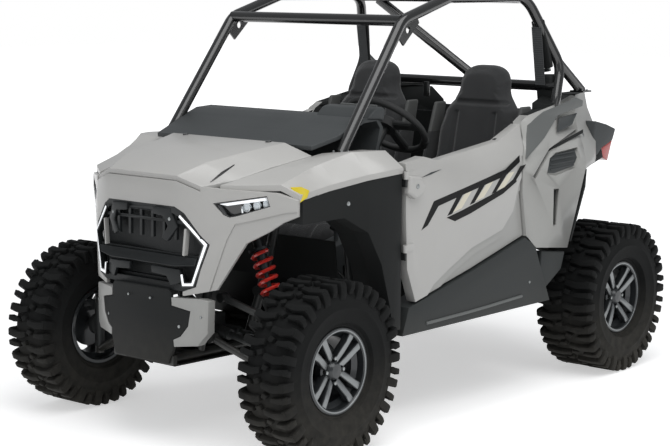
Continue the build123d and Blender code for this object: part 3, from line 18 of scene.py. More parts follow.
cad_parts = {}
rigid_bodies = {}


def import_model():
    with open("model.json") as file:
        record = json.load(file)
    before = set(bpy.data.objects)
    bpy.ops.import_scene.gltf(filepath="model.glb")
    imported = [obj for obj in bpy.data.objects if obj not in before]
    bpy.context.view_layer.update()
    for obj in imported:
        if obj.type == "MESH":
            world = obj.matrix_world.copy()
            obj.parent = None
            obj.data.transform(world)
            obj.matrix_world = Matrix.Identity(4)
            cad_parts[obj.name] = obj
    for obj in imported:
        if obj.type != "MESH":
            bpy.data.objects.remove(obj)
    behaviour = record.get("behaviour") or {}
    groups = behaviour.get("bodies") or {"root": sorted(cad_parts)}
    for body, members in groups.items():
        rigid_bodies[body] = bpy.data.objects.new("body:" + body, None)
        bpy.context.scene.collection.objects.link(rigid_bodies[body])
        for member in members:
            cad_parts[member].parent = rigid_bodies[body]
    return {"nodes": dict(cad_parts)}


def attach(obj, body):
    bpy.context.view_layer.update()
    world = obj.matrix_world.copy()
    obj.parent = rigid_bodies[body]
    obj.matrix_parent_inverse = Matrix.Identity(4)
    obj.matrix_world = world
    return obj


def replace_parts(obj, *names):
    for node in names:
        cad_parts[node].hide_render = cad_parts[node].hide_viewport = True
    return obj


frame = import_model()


LOG = logging.getLogger("vehicle")
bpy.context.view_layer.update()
MM = 0.001
# Lines plan: its middle along X, the pitch of its stations
MIDDLE_X = 0.013
STATION = 0.10035

Flat = tuple[float, float]
Point = tuple[float, float, float]
Colour = tuple[float, float, float, float]
Body = bpy.types.Object

FORWARD: Point = (1.0, 0.0, 0.0)
BACK: Point = (-1.0, 0.0, 0.0)
LEFT: Point = (0.0, 1.0, 0.0)
UP: Point = (0.0, 0.0, 1.0)
# Least part of a face's normal along a direction for a face that looks that way
FACING = 0.9
# The same for the inner faces of side walls, which lean a little
WALL_FACING = 0.7
# The photograph's eye point
EYE: Point = (5.706, 4.697, 1.771)
# The nose sweeps back outside a narrow centre: from which Y and X on, over what length, how fast
TAPER_START = 0.13
TAPER_REAR = 0.62
TAPER_LENGTH = 0.5
TAPER_RATE = 0.24
# The quarters narrow behind an X and outside a Y: how fast, how far they pull in, over what width
TAIL_TAPER_FRONT = -0.7
TAIL_TAPER_CORE = 0.46
TAIL_TAPER_RATE = 0.36
TAIL_TAPER_LIFT = 0.08
TAIL_TAPER_EDGE = 0.1
# Doors and quarters lean in at the top: from which height and X on, over what height and length, how far
LEAN_FOOT = 0.98
LEAN_HEIGHT = 0.22
LEAN_FRONT = 0.58
LEAN_LENGTH = 0.5
LEAN_DEPTH = 0.1
LEAN_EDGE = 0.2
# The front wall that lamps and grille lie on: its place, half its flat width, how fast it sweeps back
FRONT_WALL_X = MIDDLE_X + 13.1 * STATION
FRONT_WALL_FLAT = 0.33
FRONT_WALL_SWEEP = 1.2 * STATION / 0.37
# Merging distance and the angle under which CAD triangles lie in one plane
WELD = 0.00002
FLAT_ANGLE = math.radians(0.5)
# Angle in degrees from which a panel's edges are rounded, and the one up to which panels shade smooth
PANEL_EDGE_ANGLE = 24.0
PANEL_SHADE_ANGLE = 40.0
# Outline of the left head lamp seen from the front, in decimetres
LAMP_SHAPE = ((3.78, 9.62), (5.84, 10.0), (5.97, 9.62), (4.72, 9.2), (4.42, 9.13), (4.2, 9.21))


class Side(Enum):
    """The vehicle's two sides, as the sign of Y."""

    LEFT = 1
    RIGHT = -1


class View(Enum):
    """The plane that a flat outline is drawn on: its two axes, then the axis of its depth."""

    FROM_SIDE = (0, 2, 1)
    FROM_FRONT = (1, 2, 0)
    FROM_TOP = (0, 1, 2)


def station(count: float) -> float:
    """Place along the vehicle, in stations of the lines plan forward of the wheelbase's middle."""
    return MIDDLE_X + count * STATION


def outline(shares: Iterable[Flat], view: View = View.FROM_SIDE) -> list[Flat]:
    """Outline points in metres.

    Args:
        shares: stations and decimetres, or decimetres twice where seen from the front.
        view: the plane of the outline.

    Returns:
        The same points in metres of the shared frame.
    """
    if view is View.FROM_FRONT:
        return [(a / 10, b / 10) for a, b in shares]
    return [(station(a), b / 10) for a, b in shares]


# Shader helpers
def linear(code: str) -> Colour:
    """Linear colour of an sRGB hex value.

    Args:
        code: an sRGB value with a leading hash.

    Returns:
        Linear red, green and blue, and an alpha of 1.
    """
    parts = [int(code[i:i + 2], 16) / 255 for i in (1, 3, 5)]
    levels = [c / 12.92 if c <= 0.04045 else ((c + 0.055) / 1.055) ** 2.4 for c in parts]
    return (levels[0], levels[1], levels[2], 1.0)


def add_node(tree: bpy.types.NodeTree, kind: str, values: dict | None = None,
             links: dict | None = None, **settings: object) -> bpy.types.Node:
    """Adds one node.

    Args:
        tree: the material's or world's tree.
        kind: the node's type.
        values: constants by input socket.
        links: output sockets by the input socket that they feed.
        settings: the node's own properties.

    Returns:
        The new node.
    """
    made = tree.nodes.new(kind)
    for key, value in settings.items():
        setattr(made, key, value)
    for key, value in (values or {}).items():
        made.inputs[key].default_value = value
    for key, source in (links or {}).items():
        tree.links.new(source, made.inputs[key])
    return made


@dataclass(frozen=True)
class Finish:
    """A named finish whose material is made once and then shared."""

    name: str

    def material(self) -> bpy.types.Material:
        """The node material.

        Returns:
            The material, made at the first call.
        """
        known = bpy.data.materials.get(self.name)
        if known:
            return known
        made = bpy.data.materials.new(self.name)
        made.use_nodes = True
        made.node_tree.nodes.clear()
        skin = self.shader(made.node_tree)
        add_node(made.node_tree, "ShaderNodeOutputMaterial", links={"Surface": skin.outputs[0]})
        return made

    def shader(self, tree: bpy.types.NodeTree) -> bpy.types.Node:
        """The last shader node of the material's tree."""
        raise NotImplementedError


@dataclass(frozen=True)
class Surface(Finish):
    """A rigid finish: its colour drifts softly, and a grain of real size gives its bump.

    Fields are sRGB hex colours, then plain shader values; sizes are in millimetres.
    """

    colour: str
    drift: str
    roughness: float
    metallic: float = 0.0
    grain_mm: float = 1.5
    grain_depth_mm: float = 0.03
    drift_mm: float = 180.0
    roughness_drift: float = 0.06
    coat: float = 0.0
    coat_roughness: float = 0.12
    dust: str = ""
    dust_top: float = 0.45
    specular: float = 0.5

    def shader(self, tree: bpy.types.NodeTree) -> bpy.types.Node:
        """Principled shader with drifting colour and roughness, and a grain.

        Args:
            tree: the material's node tree.

        Returns:
            The principled shader.
        """
        place = add_node(tree, "ShaderNodeTexCoord").outputs["Object"]
        cloud = add_node(tree, "ShaderNodeTexNoise", {"Scale": 1 / (self.drift_mm * MM), "Detail": 4.0},
                         {"Vector": place})
        shade = add_node(tree, "ShaderNodeMix", {6: linear(self.colour), 7: linear(self.drift)},
                         {"Factor": cloud.outputs["Fac"]}, data_type="RGBA")
        colour = shade.outputs[2]
        if self.dust:
            colour = self.dusted(tree, place, colour)
        grain = add_node(tree, "ShaderNodeTexNoise", {"Scale": 1 / (self.grain_mm * MM), "Detail": 2.0},
                         {"Vector": place})
        rough = add_node(tree, "ShaderNodeMapRange",
                         {3: self.roughness - self.roughness_drift, 4: self.roughness + self.roughness_drift},
                         {"Value": cloud.outputs["Fac"]})
        bump = add_node(tree, "ShaderNodeBump", {"Strength": 1.0, "Distance": self.grain_depth_mm * MM},
                        {"Height": grain.outputs["Fac"]})
        return add_node(tree, "ShaderNodeBsdfPrincipled",
                        {"Metallic": self.metallic, "Coat Weight": self.coat,
                         "Coat Roughness": self.coat_roughness, "Specular IOR Level": self.specular},
                        {"Base Color": colour, "Roughness": rough.outputs["Result"],
                         "Normal": bump.outputs["Normal"]})

    def dusted(self, tree: bpy.types.NodeTree, place: bpy.types.NodeSocket,
               colour: bpy.types.NodeSocket) -> bpy.types.NodeSocket:
        """Colour with light dust that thins out with height above the ground.

        Args:
            tree: the material's node tree.
            place: object coordinates.
            colour: the clean colour.

        Returns:
            The colour with its dust.
        """
        parts = add_node(tree, "ShaderNodeSeparateXYZ", links={"Vector": place})
        height = add_node(tree, "ShaderNodeMapRange", {1: 0.0, 2: self.dust_top, 3: 0.55, 4: 0.0},
                          {"Value": parts.outputs["Z"]})
        patch = add_node(tree, "ShaderNodeTexNoise", {"Scale": 28.0, "Detail": 5.0}, {"Vector": place})
        amount = add_node(tree, "ShaderNodeMath", links={0: height.outputs["Result"],
                                                         1: patch.outputs["Fac"]}, operation="MULTIPLY")
        mixed = add_node(tree, "ShaderNodeMix", {7: linear(self.dust)},
                         {"Factor": amount.outputs["Value"], 6: colour}, data_type="RGBA")
        return mixed.outputs[2]


@dataclass(frozen=True)
class Weave(Finish):
    """Woven cloth: warp and weft threads cross at a real spacing, with a soft sheen."""

    colour: str
    thread: str
    spacing_mm: float = 3.0
    depth_mm: float = 0.5
    roughness: float = 0.85
    sheen: float = 0.35
    ribbed: bool = False

    def shader(self, tree: bpy.types.NodeTree) -> bpy.types.Node:
        """Principled shader with crossed threads.

        Args:
            tree: the material's node tree.

        Returns:
            The principled shader.
        """
        place = add_node(tree, "ShaderNodeTexCoord").outputs["Object"]
        wave = {"Scale": 1 / (self.spacing_mm * MM) / 2, "Distortion": 0.6}
        warp = add_node(tree, "ShaderNodeTexWave", wave, {"Vector": place}, bands_direction="Y")
        weft = add_node(tree, "ShaderNodeTexWave", wave, {"Vector": place},
                        bands_direction="X" if self.ribbed else "Z")
        knot = add_node(tree, "ShaderNodeMath", links={0: warp.outputs["Fac"], 1: weft.outputs["Fac"]},
                        operation="MULTIPLY" if self.ribbed else "MAXIMUM")
        cloud = add_node(tree, "ShaderNodeTexNoise", {"Scale": 9.0, "Detail": 4.0}, {"Vector": place})
        both = add_node(tree, "ShaderNodeMath", links={0: knot.outputs["Value"], 1: cloud.outputs["Fac"]},
                        operation="MULTIPLY")
        shade = add_node(tree, "ShaderNodeMix", {6: linear(self.colour), 7: linear(self.thread)},
                         {"Factor": both.outputs["Value"]}, data_type="RGBA")
        bump = add_node(tree, "ShaderNodeBump", {"Strength": 0.8, "Distance": self.depth_mm * MM},
                        {"Height": knot.outputs["Value"]})
        return add_node(tree, "ShaderNodeBsdfPrincipled",
                        {"Roughness": self.roughness, "Sheen Weight": self.sheen, "Sheen Roughness": 0.4},
                        {"Base Color": shade.outputs[2], "Normal": bump.outputs["Normal"]})


@dataclass(frozen=True)
class Glow(Finish):
    """A lit or frosted lamp surface: pale diffuser with a little light of its own."""

    colour: str
    strength: float
    roughness: float = 0.35

    def shader(self, tree: bpy.types.NodeTree) -> bpy.types.Node:
        """Principled shader with fine ribs and a little emission.

        Args:
            tree: the material's node tree.

        Returns:
            The principled shader.
        """
        place = add_node(tree, "ShaderNodeTexCoord").outputs["Object"]
        ribs = add_node(tree, "ShaderNodeTexWave", {"Scale": 60.0}, {"Vector": place}, bands_direction="Z")
        bump = add_node(tree, "ShaderNodeBump", {"Strength": 0.3, "Distance": 0.4 * MM},
                        {"Height": ribs.outputs["Fac"]})
        return add_node(tree, "ShaderNodeBsdfPrincipled",
                        {"Base Color": linear(self.colour), "Roughness": self.roughness,
                         "Emission Color": linear(self.colour), "Emission Strength": self.strength,
                         "Coat Weight": 0.6},
                        {"Normal": bump.outputs["Normal"]})


# Moulded grain and cloth threads are drawn about twice as coarse as real ones, which would be too
# fine to show
# Injection-moulded panels in body colour: smooth, satin, faint orange peel
BODY_GREY = Surface("moulded_body_plastic_light_grey", "#B3B2AF", "#BCBBB8", 0.36, grain_mm=2.5,
                    grain_depth_mm=0.02, coat=0.35, coat_roughness=0.2)
# The same moulding in mid grey, duller; on the doors' stepped-in faces it is painted shade
PANEL_GREY = Surface("moulded_panel_plastic_mid_grey", "#A2A29F", "#AAAAA7", 0.42, grain_mm=2.0,
                     grain_depth_mm=0.03, coat=0.15)
# Grained black polypropylene: fine leather-like grain that scatters the light
BLACK_PLASTIC = Surface("grained_black_polypropylene", "#1D1E1E", "#252727", 0.6, specular=0.2, grain_mm=1.4,
                        grain_depth_mm=0.12, dust="#6B665C", dust_top=0.5)
# Dash moulding: the same grain in a lighter grey, clean of dust; on the doors it also colours the film that
# paints the hinge cover's shadow
DASH_PLASTIC = Surface("grained_dash_polypropylene", "#3E4142", "#494C4D", 0.5, grain_mm=1.4, specular=0.3,
                       grain_depth_mm=0.12)
# Sill panels: the same grained moulding, greyed by a wear film of dry dust
SILL_PLASTIC = Surface("grained_sill_polypropylene", "#2C2F2F", "#363939", 0.55, grain_mm=1.4, specular=0.3,
                       grain_depth_mm=0.12, dust="#6B665C", dust_top=0.5)
# Grille bars: a smoother moulding whose edges catch the light softly
GRILLE_PLASTIC = Surface("moulded_grille_abs", "#1F2122", "#282B2C", 0.42, specular=0.3, grain_mm=1.2,
                         grain_depth_mm=0.06)
# Powder-coated tube: gloss black with a soft peel, so lamps streak along it
GLOSS_COAT = Surface("gloss_black_powder_coat", "#151616", "#1D1E1E", 0.24, grain_mm=3.0,
                     grain_depth_mm=0.03, coat=0.7, coat_roughness=0.08)
# Piano-black lamp and slot trim: near-black under a hard clear coat
GLOSS_TRIM = Surface("gloss_black_abs_trim", "#0F1010", "#161717", 0.18, grain_mm=4.0, grain_depth_mm=0.01,
                     coat=0.8, coat_roughness=0.05)
# Dark grey textured inserts of the side panels; on the strips along the sill steps, where it is lighter than
# the black sill, this grey is a painted highlight
INSERT_GREY = Surface("textured_insert_polypropylene", "#606362", "#6A6C6B", 0.5, grain_mm=1.4,
                      grain_depth_mm=0.1)
# Powder coat of frame and arms: satin, so highlights spread wide, and dusty low down
SATIN_COAT = Surface("satin_black_powder_coat", "#1E2020", "#2A2C2C", 0.42, grain_mm=2.0,
                     grain_depth_mm=0.05, dust="#6B665C", dust_top=0.6)
# Vulcanised rubber: dull, nearly black, with patches of dry dust that thin out with height
TYRE_RUBBER = Surface("vulcanised_tyre_rubber", "#121313", "#181919", 0.8, specular=0.2, grain_mm=2.2,
                      grain_depth_mm=0.18, drift_mm=60.0, dust="#6A665E", dust_top=0.4)
# Diamond-turned aluminium face: bright, fine turning marks break up the reflections
MACHINED_ALUMINIUM = Surface("machined_aluminium", "#8F9293", "#7E8182", 0.36, 1.0, grain_mm=0.8,
                             grain_depth_mm=0.02)
# Lacquered wheel barrels: dark, with a soft metallic glint
WHEEL_LACQUER = Surface("anthracite_wheel_lacquer", "#2C2F31", "#383B3D", 0.4, 0.4, coat=0.5)
# Damper bodies: satin black anodised tube with a cool sheen
DAMPER_COAT = Surface("black_anodised_damper_tube", "#26282A", "#303234", 0.35, 0.6, grain_mm=1.2)
# Over-moulded grip rubber: soft and matte
GRIP_RUBBER = Surface("overmoulded_grip_rubber", "#202121", "#2A2B2B", 0.7, grain_mm=1.8, grain_depth_mm=0.2)
# Perforated steel stone screen: reads as near-black with a fine raised grid
SCREEN_MESH = Surface("perforated_stone_screen", "#17191A", "#212425", 0.6, 0.3, grain_mm=5.0,
                      grain_depth_mm=1.2)
# Polished projector glass over a dark bowl: its pale colour is a painted reflection, under a real glossy
# clear coat
LENS_PAINTED_GLINT = Surface("projector_lens_glass", "#C9D2D8", "#DDE4E8", 0.06, grain_mm=6.0, grain_depth_mm=0.01,
                     coat=1.0, coat_roughness=0.02)
# Spring coils: smooth powder coat under a gloss, the one strong colour
SPRING_RED = Surface("red_spring_powder_coat", "#C92A22", "#D63A30", 0.3, grain_mm=2.0, coat=0.6)
# Plated bolts and rods: grey metal with a slightly dulled shine
STEEL = Surface("zinc_plated_steel", "#9EA1A1", "#8A8E8E", 0.35, 1.0, grain_mm=1.0)
# Castings of knuckles, drives and rack: rough, dark and barely metallic
IRON = Surface("cast_iron_knuckle", "#4A4C4C", "#3C3E3E", 0.6, 0.6, grain_mm=1.6, grain_depth_mm=0.2)
# Cast crankcase: dull grey metal whose grain breaks up the highlights
ENGINE_METAL = Surface("cast_aluminium_crankcase", "#5A5D5E", "#4A4D4E", 0.55, 0.5, grain_mm=1.2,
                       grain_depth_mm=0.15)
# Bolster vinyl, a darker grey than its welt cord
BOLSTER_VINYL = Surface("grained_bolster_vinyl", "#4B4C4B", "#555655", 0.55, grain_mm=1.6,
                        grain_depth_mm=0.15, specular=0.3)
# Pale vinyl of the welt cord: fine leather-like grain with a low shine
SEAT_VINYL = Surface("grained_seat_vinyl", "#8E8F8D", "#9A9B99", 0.5, grain_mm=1.6, grain_depth_mm=0.15)
# Marker on the fender: bright moulded plastic with a light gloss
YELLOW = Surface("yellow_marker_plastic", "#E8D21E", "#E2C818", 0.35, coat=0.5)
# Cut film on the doors: thin, even and nearly matt, so it reads as flat colour
GRAPHIC_BLACK = Surface("black_vinyl_film", "#111112", "#171718", 0.5, drift_mm=90.0, specular=0.15)
# The same film in cream, with a light gloss
GRAPHIC_CREAM = Surface("cream_vinyl_film", "#D8D2BE", "#E0DAC8", 0.35, coat=0.3, drift_mm=90.0)
# Plated lamp reflectors: mirror-bright
REFLECTOR = Surface("vacuum_plated_reflector", "#D8DCDE", "#C8CCCE", 0.12, 1.0, grain_mm=4.0)
# Moulded acrylic of the tail lamps: deep red under a hard gloss, with broad ripples
RED_LENS = Surface("red_lamp_acrylic", "#A81610", "#B4231B", 0.2, grain_mm=6.0, grain_depth_mm=0.3, coat=0.8)
# Frosted light guide: an even pale strip that looks lit
LED_WHITE = Glow("led_light_guide", "#F2F5F8", 0.55)
# Seat cloth: crossed threads that scatter the light, with a soft sheen
SEAT_CLOTH = Weave("woven_seat_cloth", "#232425", "#3A3B3C")
# Belt webbing: ribs across the strap, tighter and paler than the seat cloth
BELT_WEBBING = Weave("polyester_belt_webbing", "#3A3C3D", "#55585A", spacing_mm=2.4, ribbed=True)


# Modelling helpers
def nothing_selected() -> None:
    """Leaves edit mode and deselects every object."""
    if bpy.context.object and bpy.context.object.mode != "OBJECT":
        bpy.ops.object.mode_set(mode="OBJECT")
    bpy.ops.object.select_all(action="DESELECT")


def take(obj: Body) -> None:
    """Makes one object the only selected and active one.

    Args:
        obj: the object.
    """
    nothing_selected()
    obj.select_set(True)
    bpy.context.view_layer.objects.active = obj


def open_mesh(obj: Body, kind: str = "FACE") -> None:
    """Enters edit mode on an object with nothing selected in it.

    Args:
        obj: the object.
        kind: VERT, EDGE or FACE, for what is selected next.
    """
    take(obj)
    bpy.ops.object.mode_set(mode="EDIT")
    bpy.ops.mesh.select_mode(type=kind)
    bpy.ops.mesh.select_all(action="DESELECT")


def close_mesh() -> None:
    """Back to object mode."""
    bpy.ops.object.mode_set(mode="OBJECT")


def close_outward() -> None:
    """Turns all normals of the open mesh outwards and goes back to object mode."""
    bpy.ops.mesh.select_all(action="SELECT")
    bpy.ops.mesh.normals_make_consistent(inside=False)
    close_mesh()


def pick_faces(obj: Body, test: Callable[[Vector], bool]) -> None:
    """Selects in edit mode the faces whose normal passes a test.

    Args:
        obj: the object, in edit mode.
        test: says whether a normal's face is selected.
    """
    close_mesh()
    for face in obj.data.polygons:
        face.select = test(face.normal)
    bpy.ops.object.mode_set(mode="EDIT")


def looks_inward(face: bpy.types.MeshPolygon) -> bool:
    """True for a side wall's face that looks at the vehicle's middle plane."""
    return face.normal.y * face.center.y < 0 and abs(face.normal.y) > WALL_FACING


def recessed(obj: Body, way: Point, margin: float, move: Point, walled: bool = True, floor: float = 0.0,
             least: float = FACING) -> None:
    """Insets the faces that look one way and moves the inset part.

    Args:
        obj: the object.
        way: the direction that the faces look.
        margin: width of the rim that stays.
        move: how far the inset part moves.
        walled: True for upright walls, False to slant the rim itself.
        floor: width of a second rim, if any.
        least: least part of a face's normal along the direction.
    """
    open_mesh(obj)
    pick_faces(obj, lambda normal: normal.dot(Vector(way)) > least)
    bpy.ops.mesh.inset(thickness=margin)
    if walled:
        bpy.ops.mesh.extrude_region_move(TRANSFORM_OT_translate={"value": move})
    else:
        bpy.ops.transform.translate(value=move)
    if floor:
        bpy.ops.mesh.inset(thickness=floor)
    close_mesh()


def apply_all(obj: Body) -> None:
    """Applies the object's place and every modifier it has.

    Args:
        obj: the object.
    """
    take(obj)
    bpy.ops.object.transform_apply(location=True, rotation=True, scale=True)
    for name in [modifier.name for modifier in obj.modifiers]:
        bpy.ops.object.modifier_apply(modifier=name)


def rounded(obj: Body, width: float, segments: int = 3, angle: float = 30.0) -> Body:
    """Rounds an object's sharp edges.

    Args:
        obj: the object.
        width: width of the rounding in metres.
        segments: facets across it.
        angle: least angle of an edge that is rounded, in degrees.

    Returns:
        The same object.
    """
    bevel = obj.modifiers.new("rounding", "BEVEL")
    bevel.width = width
    bevel.segments = segments
    bevel.limit_method = "ANGLE"
    bevel.angle_limit = math.radians(angle)
    bevel.harden_normals = False
    apply_all(obj)
    return obj


def dress(obj: Body, name: str, finish: Finish, body: str = "chassis",
          angle: float = 32.0) -> Body:
    """Names a finished piece, gives it its material and lets it ride on its body.

    Args:
        obj: the piece, its place already in its mesh.
        name: its plain name.
        finish: its finish.
        body: the CAD body it moves with.
        angle: faces that meet at less than this, in degrees, shade smooth.

    Returns:
        The same object.
    """
    take(obj)
    bpy.ops.object.shade_smooth_by_angle(angle=math.radians(angle))
    obj.name = name
    obj.data.name = name
    if not obj.data.materials:
        obj.data.materials.append(finish.material())
    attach(obj, body)
    LOG.info("%s: %d faces on %s", name, len(obj.data.polygons), body)
    return obj


def clamped(share: float) -> float:
    """A share held between nothing and all."""
    return min(max(share, 0.0), 1.0)


def eased(share: float) -> float:
    """A share that starts and ends softly."""
    return share * share * (3 - 2 * share)


def slid(point: Vector, move: float) -> Vector:
    """A point slid away from the eye along its line of sight, the same on both sides.

    Args:
        point: the point.
        move: how far it goes towards the centre plane.

    Returns:
        The new point.
    """
    reach = EYE[1] - abs(point.y)
    return Vector((point.x - move * (EYE[0] - point.x) / reach, point.y - math.copysign(move, point.y),
                   point.z - move * (EYE[2] - point.z) / reach))


def tapered(obj: Body) -> Body:
    """Sweeps a piece of the nose back outside its narrow centre.

    Args:
        obj: a piece of the nose.

    Returns:
        The same object.
    """
    for vertex in obj.data.vertices:
        away = abs(vertex.co.y)
        if away > TAPER_START and vertex.co.x > TAPER_REAR:
            share = min((vertex.co.x - TAPER_REAR) / TAPER_LENGTH, 1.0)
            vertex.co = slid(vertex.co, TAPER_RATE * eased(share) * (away - TAPER_START))
    return obj


def tail_tapered(obj: Body) -> Body:
    """Narrows a piece of the rear quarters towards the tail.

    Args:
        obj: a piece of the rear quarters.

    Returns:
        The same object.
    """
    for vertex in obj.data.vertices:
        behind = TAIL_TAPER_FRONT - vertex.co.x
        away = abs(vertex.co.y)
        if behind > 0 and away > TAIL_TAPER_CORE:
            share = min((away - TAIL_TAPER_CORE) / TAIL_TAPER_EDGE, 1.0)
            vertex.co.y -= math.copysign(TAIL_TAPER_RATE * behind * share, vertex.co.y)
            vertex.co.x += TAIL_TAPER_LIFT * behind * share
    return obj


def leaned_in(obj: Body) -> Body:
    """Leans the top of a door or quarter piece in towards the cab.

    Args:
        obj: a piece of the doors or quarters.

    Returns:
        The same object.
    """
    sliced(obj, 0, LEAN_FRONT, LEAN_FRONT - LEAN_LENGTH, 5)
    sliced(obj, 2, LEAN_FOOT, LEAN_FOOT + LEAN_HEIGHT, 4)
    for vertex in obj.data.vertices:
        rise = clamped((vertex.co.z - LEAN_FOOT) / LEAN_HEIGHT)
        along = clamped((LEAN_FRONT - vertex.co.x) / LEAN_LENGTH)
        core = clamped((abs(vertex.co.y) - TAIL_TAPER_CORE) / LEAN_EDGE)
        vertex.co = slid(vertex.co, LEAN_DEPTH * eased(rise) * along * core)
    return obj


def sliced(obj: Body, axis: int, first: float, last: float, count: int) -> None:
    """Cuts the faces at evenly spaced planes across one axis, so that a warp bends them evenly.

    Args:
        obj: the object to cut.
        axis: 0 for X, 2 for Z.
        first: place of the first plane in metres.
        last: place of the last plane in metres.
        count: number of planes.
    """
    grid = bmesh.new()
    grid.from_mesh(obj.data)
    normal = Vector((0.0, 0.0, 0.0))
    normal[axis] = 1.0
    for step in range(count):
        place = normal * (first + (last - first) * step / (count - 1))
        bmesh.ops.bisect_plane(grid, geom=[*grid.verts, *grid.edges, *grid.faces], dist=0.00001,
                               plane_co=place, plane_no=normal)
    grid.to_mesh(obj.data)
    grid.free()


def plate(points: list[Flat], view: View, start: float, end: float) -> Body:
    """A plate of an outline: a filled ring whose corners are set, then extruded.

    Args:
        points: the outline in metres.
        view: the plane it is drawn on.
        start: where its depth begins, in metres along the plane's third axis.
        end: where its depth ends.

    Returns:
        The new object, its place in its mesh.
    """
    nothing_selected()
    bpy.ops.mesh.primitive_circle_add(vertices=len(points), radius=1.0, fill_type="NGON")
    obj = bpy.context.object
    first, second, deep = view.value
    for vertex, (a, b) in zip(obj.data.vertices, points):
        vertex.co[first], vertex.co[second], vertex.co[deep] = a, b, start
    open_mesh(obj)
    bpy.ops.mesh.select_all(action="SELECT")
    run = [0.0, 0.0, 0.0]
    run[deep] = end - start
    bpy.ops.mesh.extrude_region_move(TRANSFORM_OT_translate={"value": tuple(run)})
    close_outward()
    return obj


def side_plate(shares: Iterable[Flat], near: float, far: float, edge: float, segments: int = 3) -> Body:
    """A plate with rounded edges that is drawn from the side.

    Args:
        shares: its outline in stations and decimetres.
        near: its inner face's place along Y.
        far: its outer face's place along Y.
        edge: width of its rounding; none where it is zero.
        segments: facets across the rounding.

    Returns:
        The new object, its place in its mesh.
    """
    made = plate(outline(shares), View.FROM_SIDE, near, far)
    return rounded(made, edge, segments) if edge else made


def bar(start: Point, end: Point, width: float, height: float, up: Point = (0, 0, 1)) -> Body:
    """A box bar between two points.

    Args:
        start: middle of its first end.
        end: middle of its second end.
        width: its size across.
        height: its size along up.
        up: roughly the direction of its height.

    Returns:
        The new object, its place in its mesh.
    """
    nothing_selected()
    bpy.ops.mesh.primitive_cube_add(size=1.0)
    obj = bpy.context.object
    a, b = Vector(start), Vector(end)
    along = (b - a).normalized()
    across = along.cross(Vector(up)).normalized()
    rise = across.cross(along)
    turn = Matrix((along, across, rise)).transposed().to_4x4()
    size = Matrix.Diagonal(((b - a).length, width, height, 1.0))
    obj.data.transform(Matrix.Translation((a + b) / 2) @ turn @ size)
    return obj


def round_bar(start: Point, end: Point, radius: float, sides: int = 24) -> Body:
    """A round bar between two points, its place in its mesh.

    Args:
        start: middle of one end.
        end: middle of the other end.
        radius: its radius in metres.
        sides: faces round the bar.

    Returns:
        The new object.
    """
    nothing_selected()
    a, b = Vector(start), Vector(end)
    bpy.ops.mesh.primitive_cylinder_add(vertices=sides, radius=radius, depth=(b - a).length)
    obj = bpy.context.object
    turn = (b - a).to_track_quat("Z", "Y").to_matrix().to_4x4()
    obj.data.transform(Matrix.Translation((a + b) / 2) @ turn)
    return obj


def spun(profile: list[Flat], centre: Point, steps: int) -> Body:
    """A ring spun about the axle line from a closed profile.

    Args:
        profile: points of (radius, place along Y from the centre).
        centre: a point on the axis.
        steps: facets round.

    Returns:
        The new object, closed, normals outwards.
    """
    nothing_selected()
    bpy.ops.mesh.primitive_circle_add(vertices=len(profile), radius=1.0, fill_type="NOTHING")
    obj = bpy.context.object
    for vertex, (radius, across) in zip(obj.data.vertices, profile):
        vertex.co = (centre[0] + radius, centre[1] + across, centre[2])
    open_mesh(obj, "EDGE")
    bpy.ops.mesh.select_all(action="SELECT")
    bpy.ops.mesh.spin(steps=steps, angle=2 * math.pi, center=centre, axis=(0, 1, 0))
    bpy.ops.mesh.select_all(action="SELECT")
    bpy.ops.mesh.remove_doubles(threshold=0.00005)
    bpy.ops.mesh.normals_make_consistent(inside=False)
    close_mesh()
    return obj


def copied(obj: Body, change: Matrix, flipped: bool = False) -> Body:
    """A copy with its own mesh, moved by a matrix.

    Args:
        obj: the piece modelled once.
        change: the move.
        flipped: whether the move mirrors, so that its normals are turned back.

    Returns:
        The new object.
    """
    made = bpy.data.objects.new(obj.name, obj.data.copy())
    bpy.context.scene.collection.objects.link(made)
    made.data.transform(change)
    if flipped:
        made.data.flip_normals()
    return made


def mirrored(obj: Body) -> Body:
    """The same piece on the vehicle's other side, with its own mesh."""
    return copied(obj, Matrix.Diagonal((1, -1, 1, 1)), flipped=True)


def joined(pieces: list[Body]) -> Body:
    """Several objects joined into the first.

    Args:
        pieces: the objects, which become one.

    Returns:
        The first object, with every mesh.
    """
    nothing_selected()
    for piece in pieces:
        piece.select_set(True)
    bpy.context.view_layer.objects.active = pieces[0]
    if len(pieces) > 1:
        bpy.ops.object.join()
    return pieces[0]


def node_copy(node: str, holed: bool = False) -> Body:
    """A copy of a CAD node with its triangles merged into plain faces, ready to be rounded.

    Args:
        node: the CAD node.
        holed: True where flat faces have holes, which only four-sided faces keep open.

    Returns:
        The new object.
    """
    source = frame["nodes"][node]
    made = bpy.data.objects.new(node + "_skin", source.data.copy())
    bpy.context.scene.collection.objects.link(made)
    made.data.materials.clear()
    open_mesh(made)
    bpy.ops.mesh.select_all(action="SELECT")
    bpy.ops.mesh.remove_doubles(threshold=WELD)
    if holed:
        bpy.ops.mesh.tris_convert_to_quads(face_threshold=FLAT_ANGLE, shape_threshold=math.pi)
    else:
        bpy.ops.mesh.dissolve_limited(angle_limit=FLAT_ANGLE)
    close_mesh()
    return made


def sweep_x(across: float) -> float:
    """Place of the swept-back front wall's skin at a distance from the centre plane."""
    return FRONT_WALL_X - max(abs(across) - FRONT_WALL_FLAT, 0.0) * FRONT_WALL_SWEEP


def swept_plate(points: list[Flat], near: float, far: float, edge: float = 0.0, segments: int = 3) -> Body:
    """A plate on the swept-back front wall.

    Args:
        points: the outline seen from the front, in metres.
        near: depth of its front face behind the wall's skin; below zero it stands proud.
        far: depth of its back face.
        edge: width of its rounding; none where it is zero.
        segments: facets across the rounding.

    Returns:
        The new object, its place in its mesh.
    """
    obj = plate(points, View.FROM_FRONT, -far, -near)
    for vertex in obj.data.vertices:
        vertex.co.x += sweep_x(vertex.co.y)
    return rounded(obj, edge, segments) if edge else obj


